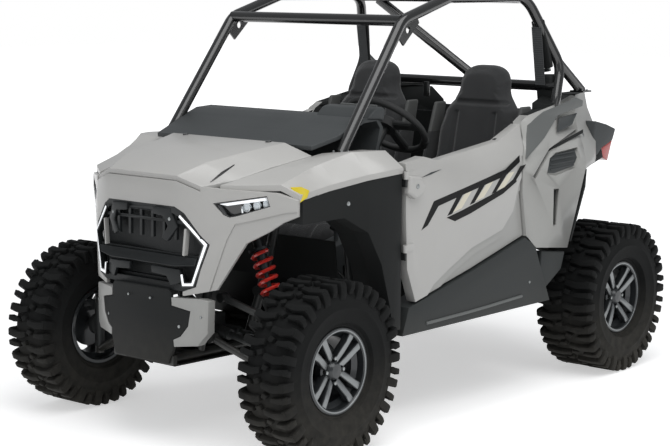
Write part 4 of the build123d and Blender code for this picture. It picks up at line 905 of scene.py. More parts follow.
def ribbon(points: list[Flat], width: float) -> list[Flat]:
    """Outline of a strip of even width round a line of points, with pointed bends.

    Args:
        points: the line's points.
        width: the strip's width.

    Returns:
        The strip's closed outline.
    """
    normals = []
    for (x0, z0), (x1, z1) in zip(points, points[1:]):
        run = math.hypot(x1 - x0, z1 - z0)
        normals.append(((z0 - z1) / run, (x1 - x0) / run))
    left, right = [], []
    for index, (x, z) in enumerate(points):
        before, after = normals[max(index - 1, 0)], normals[min(index, len(normals) - 1)]
        spread = 1 + before[0] * after[0] + before[1] * after[1]
        move = [width / 2 * (p + q) / spread for p, q in zip(before, after)]
        left.append((x + move[0], z + move[1]))
        right.append((x - move[0], z - move[1]))
    return left + right[::-1]


def cut_out(obj: Body, cutter: Body) -> None:
    """Cuts a closed piece out of another one and deletes the cutter.

    Args:
        obj: the piece that is cut.
        cutter: the piece whose space is taken out.
    """
    cut = obj.modifiers.new("cut", "BOOLEAN")
    cut.operation = "DIFFERENCE"
    cut.solver = "EXACT"
    cut.object = cutter
    apply_all(obj)
    bpy.data.objects.remove(cutter)


def loose_parts(obj: Body) -> list[Body]:
    """Splits an object into its loose parts.

    Args:
        obj: the object.

    Returns:
        The object with one part, and a new object for each other part.
    """
    take(obj)
    before = set(bpy.data.objects)
    bpy.ops.mesh.separate(type="LOOSE")
    return [obj, *(set(bpy.data.objects) - before)]


def middle_of(obj: Body) -> Vector:
    """Mean of an object's vertices.

    Args:
        obj: the object.

    Returns:
        The mean in metres.
    """
    total = Vector()
    for vertex in obj.data.vertices:
        total += vertex.co
    return total / len(obj.data.vertices)


def domed(centre: Point, axis: Point, radius: float, height: float, sides: int = 20) -> Body:
    """A round-headed fastener that stands on a surface.

    Args:
        centre: middle of its foot.
        axis: the way its head points.
        radius: its radius.
        height: how far it stands proud.
        sides: facets round.

    Returns:
        The new object, its place in its mesh.
    """
    foot, way = Vector(centre), Vector(axis).normalized()
    head = round_bar(tuple(foot - way * height), tuple(foot + way * height), radius, sides)
    rounded(head, min(radius, height) * 0.6, 3, 40.0)
    return head


def both_sides(obj: Body) -> Body:
    """The piece joined with its mirrored twin."""
    return joined([obj, mirrored(obj)])


def turned_way(angle: float, length: float = 1.0) -> Vector:
    """A horizontal vector at an angle in degrees from X, of a length."""
    turn = math.radians(angle)
    return Vector((math.cos(turn), math.sin(turn), 0)) * length


@dataclass(frozen=True)
class Sweep(Finish):
    """White paper that adds a little white for the camera and keeps the vehicle's shadow."""

    near: float = 2.5
    far: float = 9.0
    near_lift: float = 0.5
    level: float = 0.86

    def shader(self, tree: bpy.types.NodeTree) -> bpy.types.Node:
        """Diffuse paper plus emission that only the camera and reflections see.

        Args:
            tree: the material's node tree.

        Returns:
            The sum of paper and emission.
        """
        path = add_node(tree, "ShaderNodeLightPath")
        seen = add_node(tree, "ShaderNodeMath", links={0: path.outputs["Is Camera Ray"],
                                                       1: path.outputs["Is Glossy Ray"]},
                        operation="MAXIMUM")
        paper = add_node(tree, "ShaderNodeBsdfDiffuse", {"Color": (self.level, self.level, self.level, 1.0)})
        place = add_node(tree, "ShaderNodeTexCoord").outputs["Object"]
        reach = add_node(tree, "ShaderNodeVectorMath", links={0: place}, operation="LENGTH")
        level = add_node(tree, "ShaderNodeMapRange", {1: self.near, 2: self.far, 3: self.near_lift, 4: 1.0},
                         {"Value": reach.outputs["Value"]})
        amount = add_node(tree, "ShaderNodeMath", links={0: seen.outputs[0], 1: level.outputs["Result"]},
                          operation="MULTIPLY")
        lift = add_node(tree, "ShaderNodeEmission", {"Color": (1.0, 1.0, 1.0, 1.0)},
                        {"Strength": amount.outputs[0]})
        return add_node(tree, "ShaderNodeAddShader", links={0: paper.outputs[0], 1: lift.outputs[0]})


@dataclass
class Studio:
    """Camera, soft lamps and the white sweep that the vehicle stands on."""

    place: Point = EYE
    turn: float = 3.846
    fall: float = -0.142
    roll: float = 0.006
    lens: float = 91.5
    floor_size: float = 60.0
    key_power: float = 300.0
    fill_power: float = 36.0

    def build(self) -> None:
        """Makes the camera, the lamps, the world and the floor."""
        self.camera()
        self.lamp("key_lamp", (1.5, 2.5, 6.5), (0.1, 0.3, 0.6), 6.0, self.key_power)
        self.lamp("front_lamp", (7.5, -1.0, 3.2), (0.8, 0.0, 0.7), 3.5, self.fill_power)
        self.lamp("side_lamp", (1.0, 7.5, 2.6), (0.0, 0.4, 0.6), 3.5, self.fill_power)
        self.world()
        self.floor()
        bpy.context.scene.view_settings.view_transform = "Standard"

    def camera(self) -> None:
        """Camera at the photograph's place."""
        data = bpy.data.cameras.new("camera")
        data.sensor_width = 36.0
        data.lens = self.lens
        data.clip_end = 200.0
        obj = bpy.data.objects.new("camera", data)
        bpy.context.scene.collection.objects.link(obj)
        ahead = Vector((math.cos(self.fall) * math.cos(self.turn),
                        math.cos(self.fall) * math.sin(self.turn), math.sin(self.fall)))
        right = ahead.cross(Vector((0, 0, 1))).normalized()
        rise = right.cross(ahead)
        level_right = math.cos(self.roll) * right + math.sin(self.roll) * rise
        level_rise = -math.sin(self.roll) * right + math.cos(self.roll) * rise
        turn = Matrix((level_right, level_rise, -ahead)).transposed().to_4x4()
        obj.matrix_world = Matrix.Translation(self.place) @ turn
        bpy.context.scene.camera = obj

    def lamp(self, name: str, place: Point, target: Point, size: float, power: float) -> None:
        """One square soft box that looks at a target.

        Args:
            name: the lamp's name.
            place: its middle.
            target: the point that it faces.
            size: its side in metres.
            power: its power in watts.
        """
        data = bpy.data.lights.new(name, "AREA")
        data.size = size
        data.energy = power
        obj = bpy.data.objects.new(name, data)
        bpy.context.scene.collection.objects.link(obj)
        look = (Vector(target) - Vector(place)).to_track_quat("-Z", "Y")
        obj.matrix_world = Matrix.Translation(place) @ look.to_matrix().to_4x4()

    def world(self) -> None:
        """Even pale surroundings that look white to the camera and in reflections."""
        world = bpy.data.worlds.new("studio")
        bpy.context.scene.world = world
        world.use_nodes = True
        tree = world.node_tree
        tree.nodes.clear()
        path = add_node(tree, "ShaderNodeLightPath")
        seen = add_node(tree, "ShaderNodeMath", links={0: path.outputs["Is Camera Ray"],
                                                       1: path.outputs["Is Transmission Ray"]},
                        operation="MAXIMUM")
        soft = add_node(tree, "ShaderNodeBackground", {"Color": (0.95, 0.97, 1.0, 1.0), "Strength": 0.36})
        white = add_node(tree, "ShaderNodeBackground", {"Color": (1.0, 1.0, 1.0, 1.0), "Strength": 1.0})
        both = add_node(tree, "ShaderNodeMixShader", links={0: seen.outputs[0], 1: soft.outputs[0],
                                                            2: white.outputs[0]})
        add_node(tree, "ShaderNodeOutputWorld", links={"Surface": both.outputs[0]})

    def floor(self) -> None:
        """White sweep under the vehicle."""
        nothing_selected()
        bpy.ops.mesh.primitive_plane_add(size=self.floor_size)
        sweep = bpy.context.object
        sweep.name = "studio_floor"
        sweep.data.materials.append(Sweep("white_paper_sweep").material())


class Axle(Enum):
    """Front or rear wheels: word, axle's X, tyre's middle along Y, tyre and rim width, in metres."""

    FRONT = ("front", 1.0165, 0.6475, 0.229, 0.178)
    REAR = ("rear", -0.9905, 0.6225, 0.279, 0.203)


@dataclass
class Tyres:
    """Mud tyres: spun carcass with side ribs, and lugs that are modelled once."""

    axle_height: float = 0.34
    radius: float = 0.34
    crown: float = 0.3205
    pitches: int = 20
    carcass_steps: int = 96
    lug_edge: float = 0.0025
    sole_share: float = 0.86

    def build(self) -> None:
        """Makes the four tyres."""
        for axle in Axle:
            left = self.tyre(axle)
            for obj, side in ((left, "left"), (mirrored(left), "right")):
                name = f"{axle.value[0]}_{side}"
                dress(obj, f"tread_{name}", TYRE_RUBBER, f"wheel_{name}", PANEL_SHADE_ANGLE)
                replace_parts(obj, f"tyre_{name}")

    def tyre(self, axle: Axle) -> Body:
        """One left tyre at its place.

        Args:
            axle: front or rear.

        Returns:
            Carcass and lugs as one object.
        """
        _, x, track, width, rim_width = axle.value
        half, bead = width / 2, rim_width / 2 - 0.007
        share = half / 0.1145
        wall = [(0.1535, bead), (0.1650, bead + 0.001), (0.1720, bead + 0.006), (0.1780, bead + 0.006),
                (0.1850, half - 0.0120), (0.2050, half - 0.0075), (0.2350, half - 0.0045),
                (0.2380, half - 0.0020), (0.2430, half - 0.0020), (0.2460, half - 0.0045),
                (0.2700, half - 0.0065), (0.2900, half - 0.0120), (0.3040, half - 0.0200),
                (0.3130, half - 0.0320), (self.crown - 0.002, 0.0650 * share), (self.crown, 0.0200)]
        profile = [(r, -y) for r, y in wall] + [(r, y) for r, y in reversed(wall)]
        middle = (x, track, self.axle_height)
        pieces = [spun(profile, middle, self.carcass_steps)]
        lug_set = self.lug_set(half)
        for index in range(self.pitches):
            for flip, offset in ((1, 0.0), (-1, 0.5)):
                turn = Matrix.Rotation(2 * math.pi * (index + offset) / self.pitches, 4, "Y")
                shape = Matrix.Diagonal((1, flip, 1, 1))
                pieces.append(copied(lug_set, Matrix.Translation(middle) @ turn @ shape, flipped=flip < 0))
        bpy.data.objects.remove(lug_set)
        return joined(pieces)

    def lug_set(self, half: float) -> Body:
        """Lugs of one pitch on one side: long bar, shoulder block, side biter and centre knob.

        Args:
            half: half the tyre's width.

        Returns:
            The lugs as one object, round an axle at the origin.
        """
        tip, low = self.radius - 0.0012, self.crown - 0.012
        long_bar = [(-0.010, 0.006), (0.016, 0.004), (0.030, half * 0.46), (0.026, half * 0.72),
                    (0.020, half - 0.006), (-0.012, half - 0.006), (-0.006, half * 0.66),
                    (-0.002, half * 0.40)]
        short_bar = [(0.046, half * 0.44), (0.064, half * 0.38), (0.068, half * 0.70), (0.062, half - 0.004),
                     (0.038, half - 0.004), (0.043, half * 0.70)]
        knob = [(0.030, 0.010), (0.052, 0.002), (0.060, half * 0.20), (0.040, half * 0.30)]
        tops = [self.pad(long_bar, low, tip), self.pad(short_bar, low, tip - 0.001),
                self.pad(knob, low, tip - 0.001)]
        side = [(half * 0.80, tip - 0.002), (half - 0.004, tip - 0.007), (half - 0.0005, self.crown - 0.006),
                (half - 0.0005, 0.292), (half - 0.005, 0.272), (half - 0.014, 0.266), (half - 0.03, 0.300)]
        long_side = rounded(plate(side, View.FROM_FRONT, -0.012, 0.020), self.lug_edge, 2)
        short = [(y, z if z > 0.30 else z + 0.018) for y, z in side]
        short_side = rounded(plate(short, View.FROM_FRONT, 0.040, 0.062), self.lug_edge, 2)
        short_side.data.transform(Matrix.Translation((0, 0, -0.002)))
        return joined([*tops, long_side, short_side])

    def pad(self, points: list[Flat], low: float, high: float) -> Body:
        """One lug's block with a narrower, rounded sole; its far edge follows the tyre's turn.

        Args:
            points: its outline on the unrolled tread.
            low: radius of its foot.
            high: radius of its sole.

        Returns:
            The block.
        """
        block = plate(points, View.FROM_TOP, low, high)
        middle_x = sum(x for x, _ in points) / len(points)
        for vertex in block.data.vertices:
            reach = vertex.co.z
            angle = vertex.co.x / self.radius
            vertex.co.x = math.sin(angle) * reach
            vertex.co.z = math.cos(angle) * reach
            if reach > self.crown:
                shift = math.sin(middle_x / self.radius) * reach
                vertex.co.x = shift + (vertex.co.x - shift) * self.sole_share
        return rounded(block, 0.003, 2)


@dataclass
class Rims:
    """Alloy wheels with four twin spokes: dark barrel, bright turned faces, cap and nuts."""

    axle_height: float = 0.34
    seat: float = 0.1522
    lip: float = 0.0120
    spoke_pairs: int = 4
    steps: int = 72

    def build(self) -> None:
        """Makes the four wheels."""
        for axle in Axle:
            parts = {"barrel": (self.barrel(axle), WHEEL_LACQUER),
                     "faces": (self.faces(axle), MACHINED_ALUMINIUM),
                     "hub": (self.hub(axle), WHEEL_LACQUER), "nuts": (self.nuts(axle), STEEL)}
            for part, (left, finish) in parts.items():
                for obj, side in ((left, "left"), (mirrored(left), "right")):
                    name = f"{axle.value[0]}_{side}"
                    dress(obj, f"wheel_{part}_{name}", finish, f"wheel_{name}")
                    if part == "barrel":
                        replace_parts(obj, f"rim_{name}")

    def outer(self, axle: Axle) -> Point:
        """Middle of the rim's outer edge."""
        return (axle.value[1], axle.value[2] + axle.value[4] / 2, self.axle_height)

    def ring(self, profile: list[Flat], axle: Axle) -> Body:
        """A ring spun about the axle at the middle of the rim."""
        return spun(profile, (axle.value[1], axle.value[2], self.axle_height), self.steps)

    def barrel(self, axle: Axle) -> Body:
        """Barrel with its flanges, drop centre and the dark spokes' bodies.

        Args:
            axle: front or rear.

        Returns:
            One object for the left wheel.
        """
        half, seat = axle.value[4] / 2, self.seat
        outer = [(seat - 0.006, half - 0.004), (seat - 0.002, half), (seat + self.lip - 0.003, half),
                 (seat + self.lip, half - 0.002), (seat + self.lip, half - 0.006), (seat, half - 0.010)]
        centre = [(seat - 0.0005, half - 0.030), (seat - 0.020, half - 0.045), (seat - 0.020, -half + 0.045),
                  (seat - 0.0005, -half + 0.030)]
        back = [(r, -y) for r, y in reversed(outer)]
        wall = [(seat - 0.006, -half + 0.034), (seat - 0.026, -half + 0.048), (seat - 0.026, half - 0.048),
                (seat - 0.007, half - 0.034)]
        return joined([self.ring(outer + centre + back + wall, axle), *self.spokes(axle, 0.030, 0.0)])

    def spokes(self, axle: Axle, depth: float, forward: float, inset: float = 0.0) -> list[Body]:
        """Prongs of the twin spokes: wide at the hub, splayed at the rim, dished inwards.

        Args:
            axle: front or rear.
            depth: their depth along the axle.
            forward: how far they stand out.
            inset: how much narrower they are on each side.

        Returns:
            All prongs of the left wheel.
        """
        made = []
        prong = [(0.034, 0.004 + inset), (0.075, 0.008 + inset), (0.145, 0.016 + inset),
                 (0.147, 0.050 - inset), (0.110, 0.040 - inset), (0.072, 0.036 - inset),
                 (0.040, 0.030 - inset)]
        blank = plate(prong, View.FROM_SIDE, -depth, 0.0)
        for vertex in blank.data.vertices:
            reach = math.hypot(vertex.co.x, vertex.co.z)
            vertex.co.y -= 0.030 * (1 - min(reach / 0.147, 1)) ** 1.4 + 0.006
            vertex.co.y += forward
        rounded(blank, 0.0022 if not inset else 0.0008, 2)
        for index in range(self.spoke_pairs):
            for flip in (1, -1):
                turn = Matrix.Rotation(math.radians(45 + 90 * index), 4, "Y")
                place = Matrix.Translation(self.outer(axle))
                shape = Matrix.Diagonal((1, 1, flip, 1))
                made.append(copied(blank, place @ turn @ shape, flipped=flip < 0))
        bpy.data.objects.remove(blank)
        return made

    def faces(self, axle: Axle) -> Body:
        """Bright turned faces that lie on the spokes, and the thin bright lip.

        Args:
            axle: front or rear.

        Returns:
            One object for the left wheel.
        """
        half, seat = axle.value[4] / 2, self.seat
        lip = [(seat - 0.004, half - 0.0035), (seat - 0.001, half + 0.0008), (seat + 0.004, half + 0.0008),
               (seat + 0.004, half - 0.001)]
        return joined([self.ring(lip, axle), *self.spokes(axle, 0.0016, 0.0008, 0.0035)])

    def hub(self, axle: Axle) -> Body:
        """Hub bowl, cap and brake disc.

        Args:
            axle: front or rear.

        Returns:
            One object for the left wheel.
        """
        bowl = [(0.0005, -0.070), (0.058, -0.070), (0.060, -0.040), (0.052, -0.034), (0.040, -0.034),
                (0.036, -0.026), (0.030, -0.015), (0.026, -0.011), (0.0005, -0.009)]
        disc = [(0.0005, -0.098), (0.098, -0.098), (0.098, -0.093), (0.0005, -0.093)]
        return joined([spun(profile, self.outer(axle), 48) for profile in (bowl, disc)])

    def nuts(self, axle: Axle) -> Body:
        """Four wheel nuts with domed ends, between the spokes.

        Args:
            axle: front or rear.

        Returns:
            One object for the left wheel.
        """
        nut = round_bar((0.047, -0.034, 0), (0.047, -0.016, 0), 0.0085, 6)
        rounded(nut, 0.002, 2, 20.0)
        made = []
        for index in range(4):
            turn = Matrix.Rotation(math.radians(90 * index), 4, "Y")
            made.append(copied(nut, Matrix.Translation(self.outer(axle)) @ turn))
        bpy.data.objects.remove(nut)
        return joined(made)


@dataclass
class BodyPanels:
    """Moulded panels: each takes its CAD solid's shape and gets rounded edges and a moulded skin."""

    edge: float = 0.005
    thick_edge: float = 0.009
    deck_front: float = -0.5
    deck_y: float = 0.655
    lining_y: float = 0.65
    flare_inset: float = 0.0015

    def build(self) -> None:
        """Makes every panel."""
        for node, width in (("hood", 0.007), ("front_fascia", self.edge), ("front_fenders", 0.008)):
            self.panel(node, BODY_GREY, "body_grey", width)
        self.panel("rocker_panels", SILL_PLASTIC, "trim_black", self.edge)
        for node in ("front_flares", "rear_fascia", "cargo_bed"):
            self.panel(node, BLACK_PLASTIC, "trim_black", self.edge)
        for node in ("rear_side_panels", "rear_fenders"):
            self.panel(node, PANEL_GREY, "side_grey", self.edge)
        self.panel("cowl", DASH_PLASTIC, "dash_grey", 0.007)
        self.panel("centre_console", DASH_PLASTIC, "dash_grey", self.thick_edge)
        self.panel("grille", GRILLE_PLASTIC, "trim_black", 0.0025)
        self.bumper()

    def panel(self, node: str, finish: Surface, slot: str, width: float) -> None:
        """One panel.

        Args:
            node: the CAD node that it stands for.
            finish: its finish.
            slot: the record's material slot; not used.
            width: width of its rounded edges in metres.
        """
        skin = node_copy(node, holed=node == "front_fascia")
        if node == "front_fascia":
            cut_out(skin, both_sides(swept_plate(outline(LAMP_SHAPE, View.FROM_FRONT), -0.01, 0.05)))
        if node in ("front_flares", "front_fenders"):
            sliced(skin, 0, 0.2, 1.2, 11)
        if node == "front_flares":
            for vertex in skin.data.vertices:
                vertex.co.y -= math.copysign(self.flare_inset, vertex.co.y)
        if node == "rear_side_panels":
            self.trim_deck(skin)
        if node in ("rear_side_panels", "rear_fenders"):
            self.line_inside(skin, finish)
            leaned_in(skin)
        tail_tapered(tapered(skin))
        rounded(skin, width, angle=PANEL_EDGE_ANGLE)
        dress(skin, f"{node}_skin", finish, angle=PANEL_SHADE_ANGLE)
        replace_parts(skin, node)

    def line_inside(self, skin: Body, finish: Surface) -> None:
        """Gives the walls' inner faces and the decks the black of the cab's lining.

        Args:
            skin: the panel's skin.
            finish: the finish of its outer faces.
        """
        skin.data.materials.append(finish.material())
        skin.data.materials.append(BLACK_PLASTIC.material())
        for face in skin.data.polygons:
            face.material_index = int(looks_inward(face) or abs(face.center.y) < self.lining_y)

    def trim_deck(self, skin: Body) -> None:
        """Slants the front end of the deck beside the cargo box, so that it starts behind the seat.

        Args:
            skin: the rear quarters' skin.
        """
        for vertex in skin.data.vertices:
            if abs(vertex.co.y) < self.deck_y and vertex.co.x > self.deck_front:
                vertex.co.x = self.deck_front

    def bumper(self) -> None:
        """Dark lower centre piece, and the painted brackets at its two ends."""
        for part in loose_parts(node_copy("front_bumper")):
            bracket = abs(middle_of(part).y) > 0.1
            rounded(tapered(part), 0.006, angle=PANEL_EDGE_ANGLE)
            side = "left" if middle_of(part).y > 0 else "right"
            name = f"bumper_bracket_{side}" if bracket else "bumper_centre"
            finish, slot = (PANEL_GREY, "side_grey") if bracket else (BLACK_PLASTIC, "trim_black")
            dress(part, name, finish, angle=PANEL_SHADE_ANGLE)
            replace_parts(part, "front_bumper")


@dataclass
class CarriedNodes:
    """CAD pieces whose shape is right: they keep their mesh and get the real material."""

    def build(self) -> None:
        """Gives each kept node its finish."""
        finishes = {
            "chassis_frame": SATIN_COAT, "cage_left": GLOSS_COAT, "cage_right": GLOSS_COAT,
            "cage_crossbars": GLOSS_COAT, "skid_plate": BLACK_PLASTIC, "floor_pan": BLACK_PLASTIC,
            "rear_bumper": SATIN_COAT, "pedals": SATIN_COAT, "engine_block": ENGINE_METAL, "exhaust": STEEL,
            "front_arms": SATIN_COAT, "rear_arms": SATIN_COAT, "shock_absorbers": DAMPER_COAT,
            "springs": SPRING_RED, "front_drive": IRON, "rear_drive": IRON, "rear_knuckles": IRON,
            "knuckle_left": IRON, "knuckle_right": IRON, "steering_rack": IRON, "tie_rods": STEEL,
            "steering_wheel": GRIP_RUBBER, "steering_column": SATIN_COAT, "seat_belts": BELT_WEBBING,
        }
        for node, finish in finishes.items():
            piece = frame["nodes"][node]
            for slot in piece.material_slots:
                slot.material = finish.material()
            if not piece.material_slots:
                piece.data.materials.append(finish.material())
            LOG.info("%s keeps its CAD shape", node)


@dataclass
class FrontEnd:
    """Lamps, light strips, grille mesh, bonnet details and fasteners of the front."""

    guide: tuple[Flat, ...] = ((3.98, 9.6), (5.72, 9.93), (5.78, 9.83), (4.3, 9.55))
    divider: tuple[Flat, ...] = ((4.78, 9.555), (4.84, 9.56), (4.88, 9.3), (4.82, 9.29))
    projectors: tuple[Point, ...] = ((0.498, 0.952, 0.0135), (0.536, 0.960, 0.0135), (0.572, 0.968, 0.0125))
    strip: tuple[Flat, ...] = ((2.24, 9.03), (3.53, 8.07), (2.9, 6.53), (2.42, 6.47), (2.34, 6.85))
    accent: tuple[Flat, ...] = ((2.52, 8.57), (2.4, 7.55))
    screen_edge: tuple[Flat, ...] = ((1.95, 9.3), (2.45, 9.1), (3.56, 8.08), (2.98, 6.52), (2.3, 6.27))
    cross: tuple[Flat, ...] = ((-3.1, 7.52), (3.1, 7.52), (3.0, 7.22), (1.9, 7.09), (-1.9, 7.09),
                               (-3.0, 7.22))
    upper_rib: tuple[Flat, ...] = ((0.7, 9.25), (1.65, 9.25), (2.05, 8.6), (1.5, 8.0), (1.18, 8.12),
                                   (1.52, 8.56), (1.3, 8.93), (0.7, 8.98))
    lower_rib: tuple[Flat, ...] = ((0.6, 7.0), (2.1, 7.0), (2.35, 6.55), (1.65, 6.33), (1.4, 6.68),
                                   (0.6, 6.72))
    marker: tuple[Point, ...] = ((1.196, 0.655, 1.034), (1.178, 0.69, 1.037), (1.148, 0.7035, 1.022),
                                 (1.160, 0.7035, 0.997), (1.1885, 0.695, 0.981))
    bolts: tuple[tuple[float, float, float, float], ...] = (
        (0.162, 0.885, 0.007, 0.006), (0.215, 0.485, 0.0065, 0.0), (0.33, 0.535, 0.0055, 0.0),
        (0.06, 0.575, 0.005, 0.0))
    slot: tuple[Flat, ...] = ((1.232, 0.288), (1.165, 0.287), (1.1, 0.285))
    stud: Flat = (0.85, 0.228)
    recess: float = 0.034

    def build(self) -> None:
        """Makes the front's pieces."""
        self.lamps()
        self.strips()
        self.screen()
        self.markers()
        self.fasteners()
        self.bonnet_slots()

    def wall_plate(self, shares: Iterable[Flat], near: float, far: float, edge: float,
                   segments: int = 3) -> Body:
        """A rounded plate on the front wall, its outline in decimetres; see swept_plate."""
        return swept_plate(outline(shares, View.FROM_FRONT), near, far, edge, segments)

    def pair(self, piece: Body, name: str, finish: Finish) -> Body:
        """Mirrors a piece, sweeps both back with the nose and dresses them."""
        return dress(tapered(both_sides(piece)), name, finish)

    def lamps(self) -> None:
        """Black lamp bowls, light guides and projector lenses."""
        bowl = self.wall_plate(LAMP_SHAPE, 0.0015, 0.058, 0.0)
        recessed(bowl, FORWARD, 0.004, (-self.recess, 0, 0), floor=0.003)
        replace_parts(self.pair(rounded(bowl, 0.0015, 2), "lamp_bowls", GLOSS_TRIM), "front_lights")
        self.pair(self.wall_plate(self.guide, 0.004, 0.022, 0.0025), "lamp_light_guides", LED_WHITE)
        rings, lenses = zip(*[self.projector(*values) for values in self.projectors])
        self.pair(joined(list(rings)), "lamp_reflector_rings", REFLECTOR)
        self.pair(joined(list(lenses)), "lamp_lenses", LENS_PAINTED_GLINT)
        self.pair(self.wall_plate(self.divider, 0.01, 0.034, 0.001, 2), "lamp_dividers", REFLECTOR)

    def projector(self, across: float, height: float, radius: float) -> tuple[Body, Body]:
        """One projector: a bright ring and a domed lens in it.

        Args:
            across: its place along Y.
            height: its height.
            radius: the lens's radius.

        Returns:
            The ring and the lens.
        """
        x = sweep_x(across) - 0.014
        ring = round_bar((x - 0.02, across, height), (x, across, height), radius + 0.0035, 32)
        recessed(ring, FORWARD, 0.003, (-0.006, 0, 0))
        rounded(ring, 0.0008, 2)
        return ring, domed((x - 0.005, across, height), FORWARD, radius, 0.008, 32)

    def strips(self) -> None:
        """Light strips bent round the grille's sides, each in a black channel, with a short inner bar."""
        line = outline(self.strip, View.FROM_FRONT)
        inner = ribbon(outline(self.accent, View.FROM_FRONT), 0.011)
        channel = swept_plate(ribbon(line, 0.019), -0.004, 0.012, 0.001, 2)
        self.pair(channel, "strip_channels", GLOSS_TRIM)
        light = swept_plate(ribbon(line, 0.0095), -0.0065, 0.006, 0.0018)
        self.pair(light, "light_strips", LED_WHITE)
        self.pair(swept_plate(inner, -0.002, 0.02, 0.002), "grille_accents", BODY_GREY)

    def screen(self) -> None:
        """Fine stone screen behind the grille's bars, with a cross bar and ribs in front of it."""
        edge = self.screen_edge
        back = self.wall_plate([*edge, *[(-y, z) for y, z in reversed(edge)]], 0.0265, 0.031, 0.0)
        recessed(back, FORWARD, 0.03, (-0.012, 0, 0))
        dress(tapered(rounded(back, 0.003, 2)), "grille_screen", SCREEN_MESH)
        pieces = [self.wall_plate(self.cross, -0.001, 0.022, 0.004)]
        for side in Side:
            for shares, near in ((self.upper_rib, 0.004), (self.lower_rib, 0.006)):
                turned = [(side.value * y, z) for y, z in shares]
                pieces.append(self.wall_plate(turned, near, near + 0.018, 0.0035))
        dress(tapered(joined(pieces)), "grille_ribs", GRILLE_PLASTIC)

    def markers(self) -> None:
        """Yellow side markers at the front corners of the fenders."""
        pieces = []
        for side in Side:
            nothing_selected()
            bpy.ops.mesh.primitive_circle_add(vertices=len(self.marker), radius=0.02, fill_type="NGON")
            marker = bpy.context.object
            for vertex, (x, y, z) in zip(marker.data.vertices, self.marker):
                vertex.co = (x, side.value * y, z)
            open_mesh(marker)
            bpy.ops.mesh.select_all(action="SELECT")
            bpy.ops.mesh.extrude_region_move(
                TRANSFORM_OT_translate={"value": (-0.012, -side.value * 0.02, -0.006)})
            close_outward()
            pieces.append(rounded(marker, 0.002, angle=20.0))
        dress(tapered(joined(pieces)), "side_markers", YELLOW)

    def fasteners(self) -> None:
        """Bolt heads of the grille, the bumper and the brackets."""
        heads = [domed((sweep_x(across) - depth, side.value * across, height), FORWARD, radius, 0.003)
                 for across, height, radius, depth in self.bolts for side in Side]
        dress(tapered(joined(heads)), "front_bolts", STEEL)

    def bonnet_slots(self) -> None:
        """Narrow black air slots and quarter-turn fasteners of the bonnet."""
        slots, studs = [], []
        for side in Side:
            slots.append(surface_strip([surface_point(side, x, y) for x, y in self.slot], 0.011, 0.0012))
            place, normal = surface_point(side, *self.stud)
            studs.append(domed(tuple(place), tuple(normal), 0.0125, 0.004, 28))
        dress(joined(slots), "bonnet_slots", GLOSS_TRIM)
        dress(joined(studs), "bonnet_fasteners", GLOSS_TRIM)


def surface_point(side: Side, x: float, y: float) -> tuple[Vector, Vector]:
    """Point and normal of the top skin straight above a place in plan.

    Args:
        side: the vehicle's side.
        x: place along the vehicle.
        y: distance from the centre plane.

    Returns:
        The point and the surface's normal there.
    """
    depsgraph = bpy.context.evaluated_depsgraph_get()
    origin = Vector((x, side.value * y, 1.45))
    found, place, normal, _, _, _ = bpy.context.scene.ray_cast(depsgraph, origin, Vector((0, 0, -1)))
    if not found:
        raise ValueError(f"no skin under {x}, {y}")
    return place, normal


def surface_strip(line: list[tuple[Vector, Vector]], width: float, proud: float) -> Body:
    """A thin strip that lies on a surface along a line of points.

    Args:
        line: points and normals of the surface.
        width: the strip's width.
        proud: how far it stands off the surface.

    Returns:
        The new object.
    """
    nothing_selected()
    bpy.ops.mesh.primitive_grid_add(x_subdivisions=1, y_subdivisions=len(line) - 1, size=1.0)
    strip = bpy.context.object
    ordered = sorted(strip.data.vertices, key=lambda vertex: (round(vertex.co.y, 4), vertex.co.x))
    for index, (place, normal) in enumerate(line):
        ahead = line[min(index + 1, len(line) - 1)][0] - line[max(index - 1, 0)][0]
        across = ahead.cross(normal).normalized()
        taper = 0.35 if index in (0, len(line) - 1) else 1.0
        for vertex, sign in zip(ordered[2 * index:2 * index + 2], (-1, 1)):
            vertex.co = place + across * sign * width / 2 * taper + normal * proud
    thick = strip.modifiers.new("film", "SOLIDIFY")
    thick.thickness = 0.004
    thick.offset = -1.0
    open_mesh(strip)
    close_outward()
    if strip.data.polygons[0].normal.dot(line[0][1]) < 0:
        strip.data.flip_normals()
    apply_all(strip)
    return strip


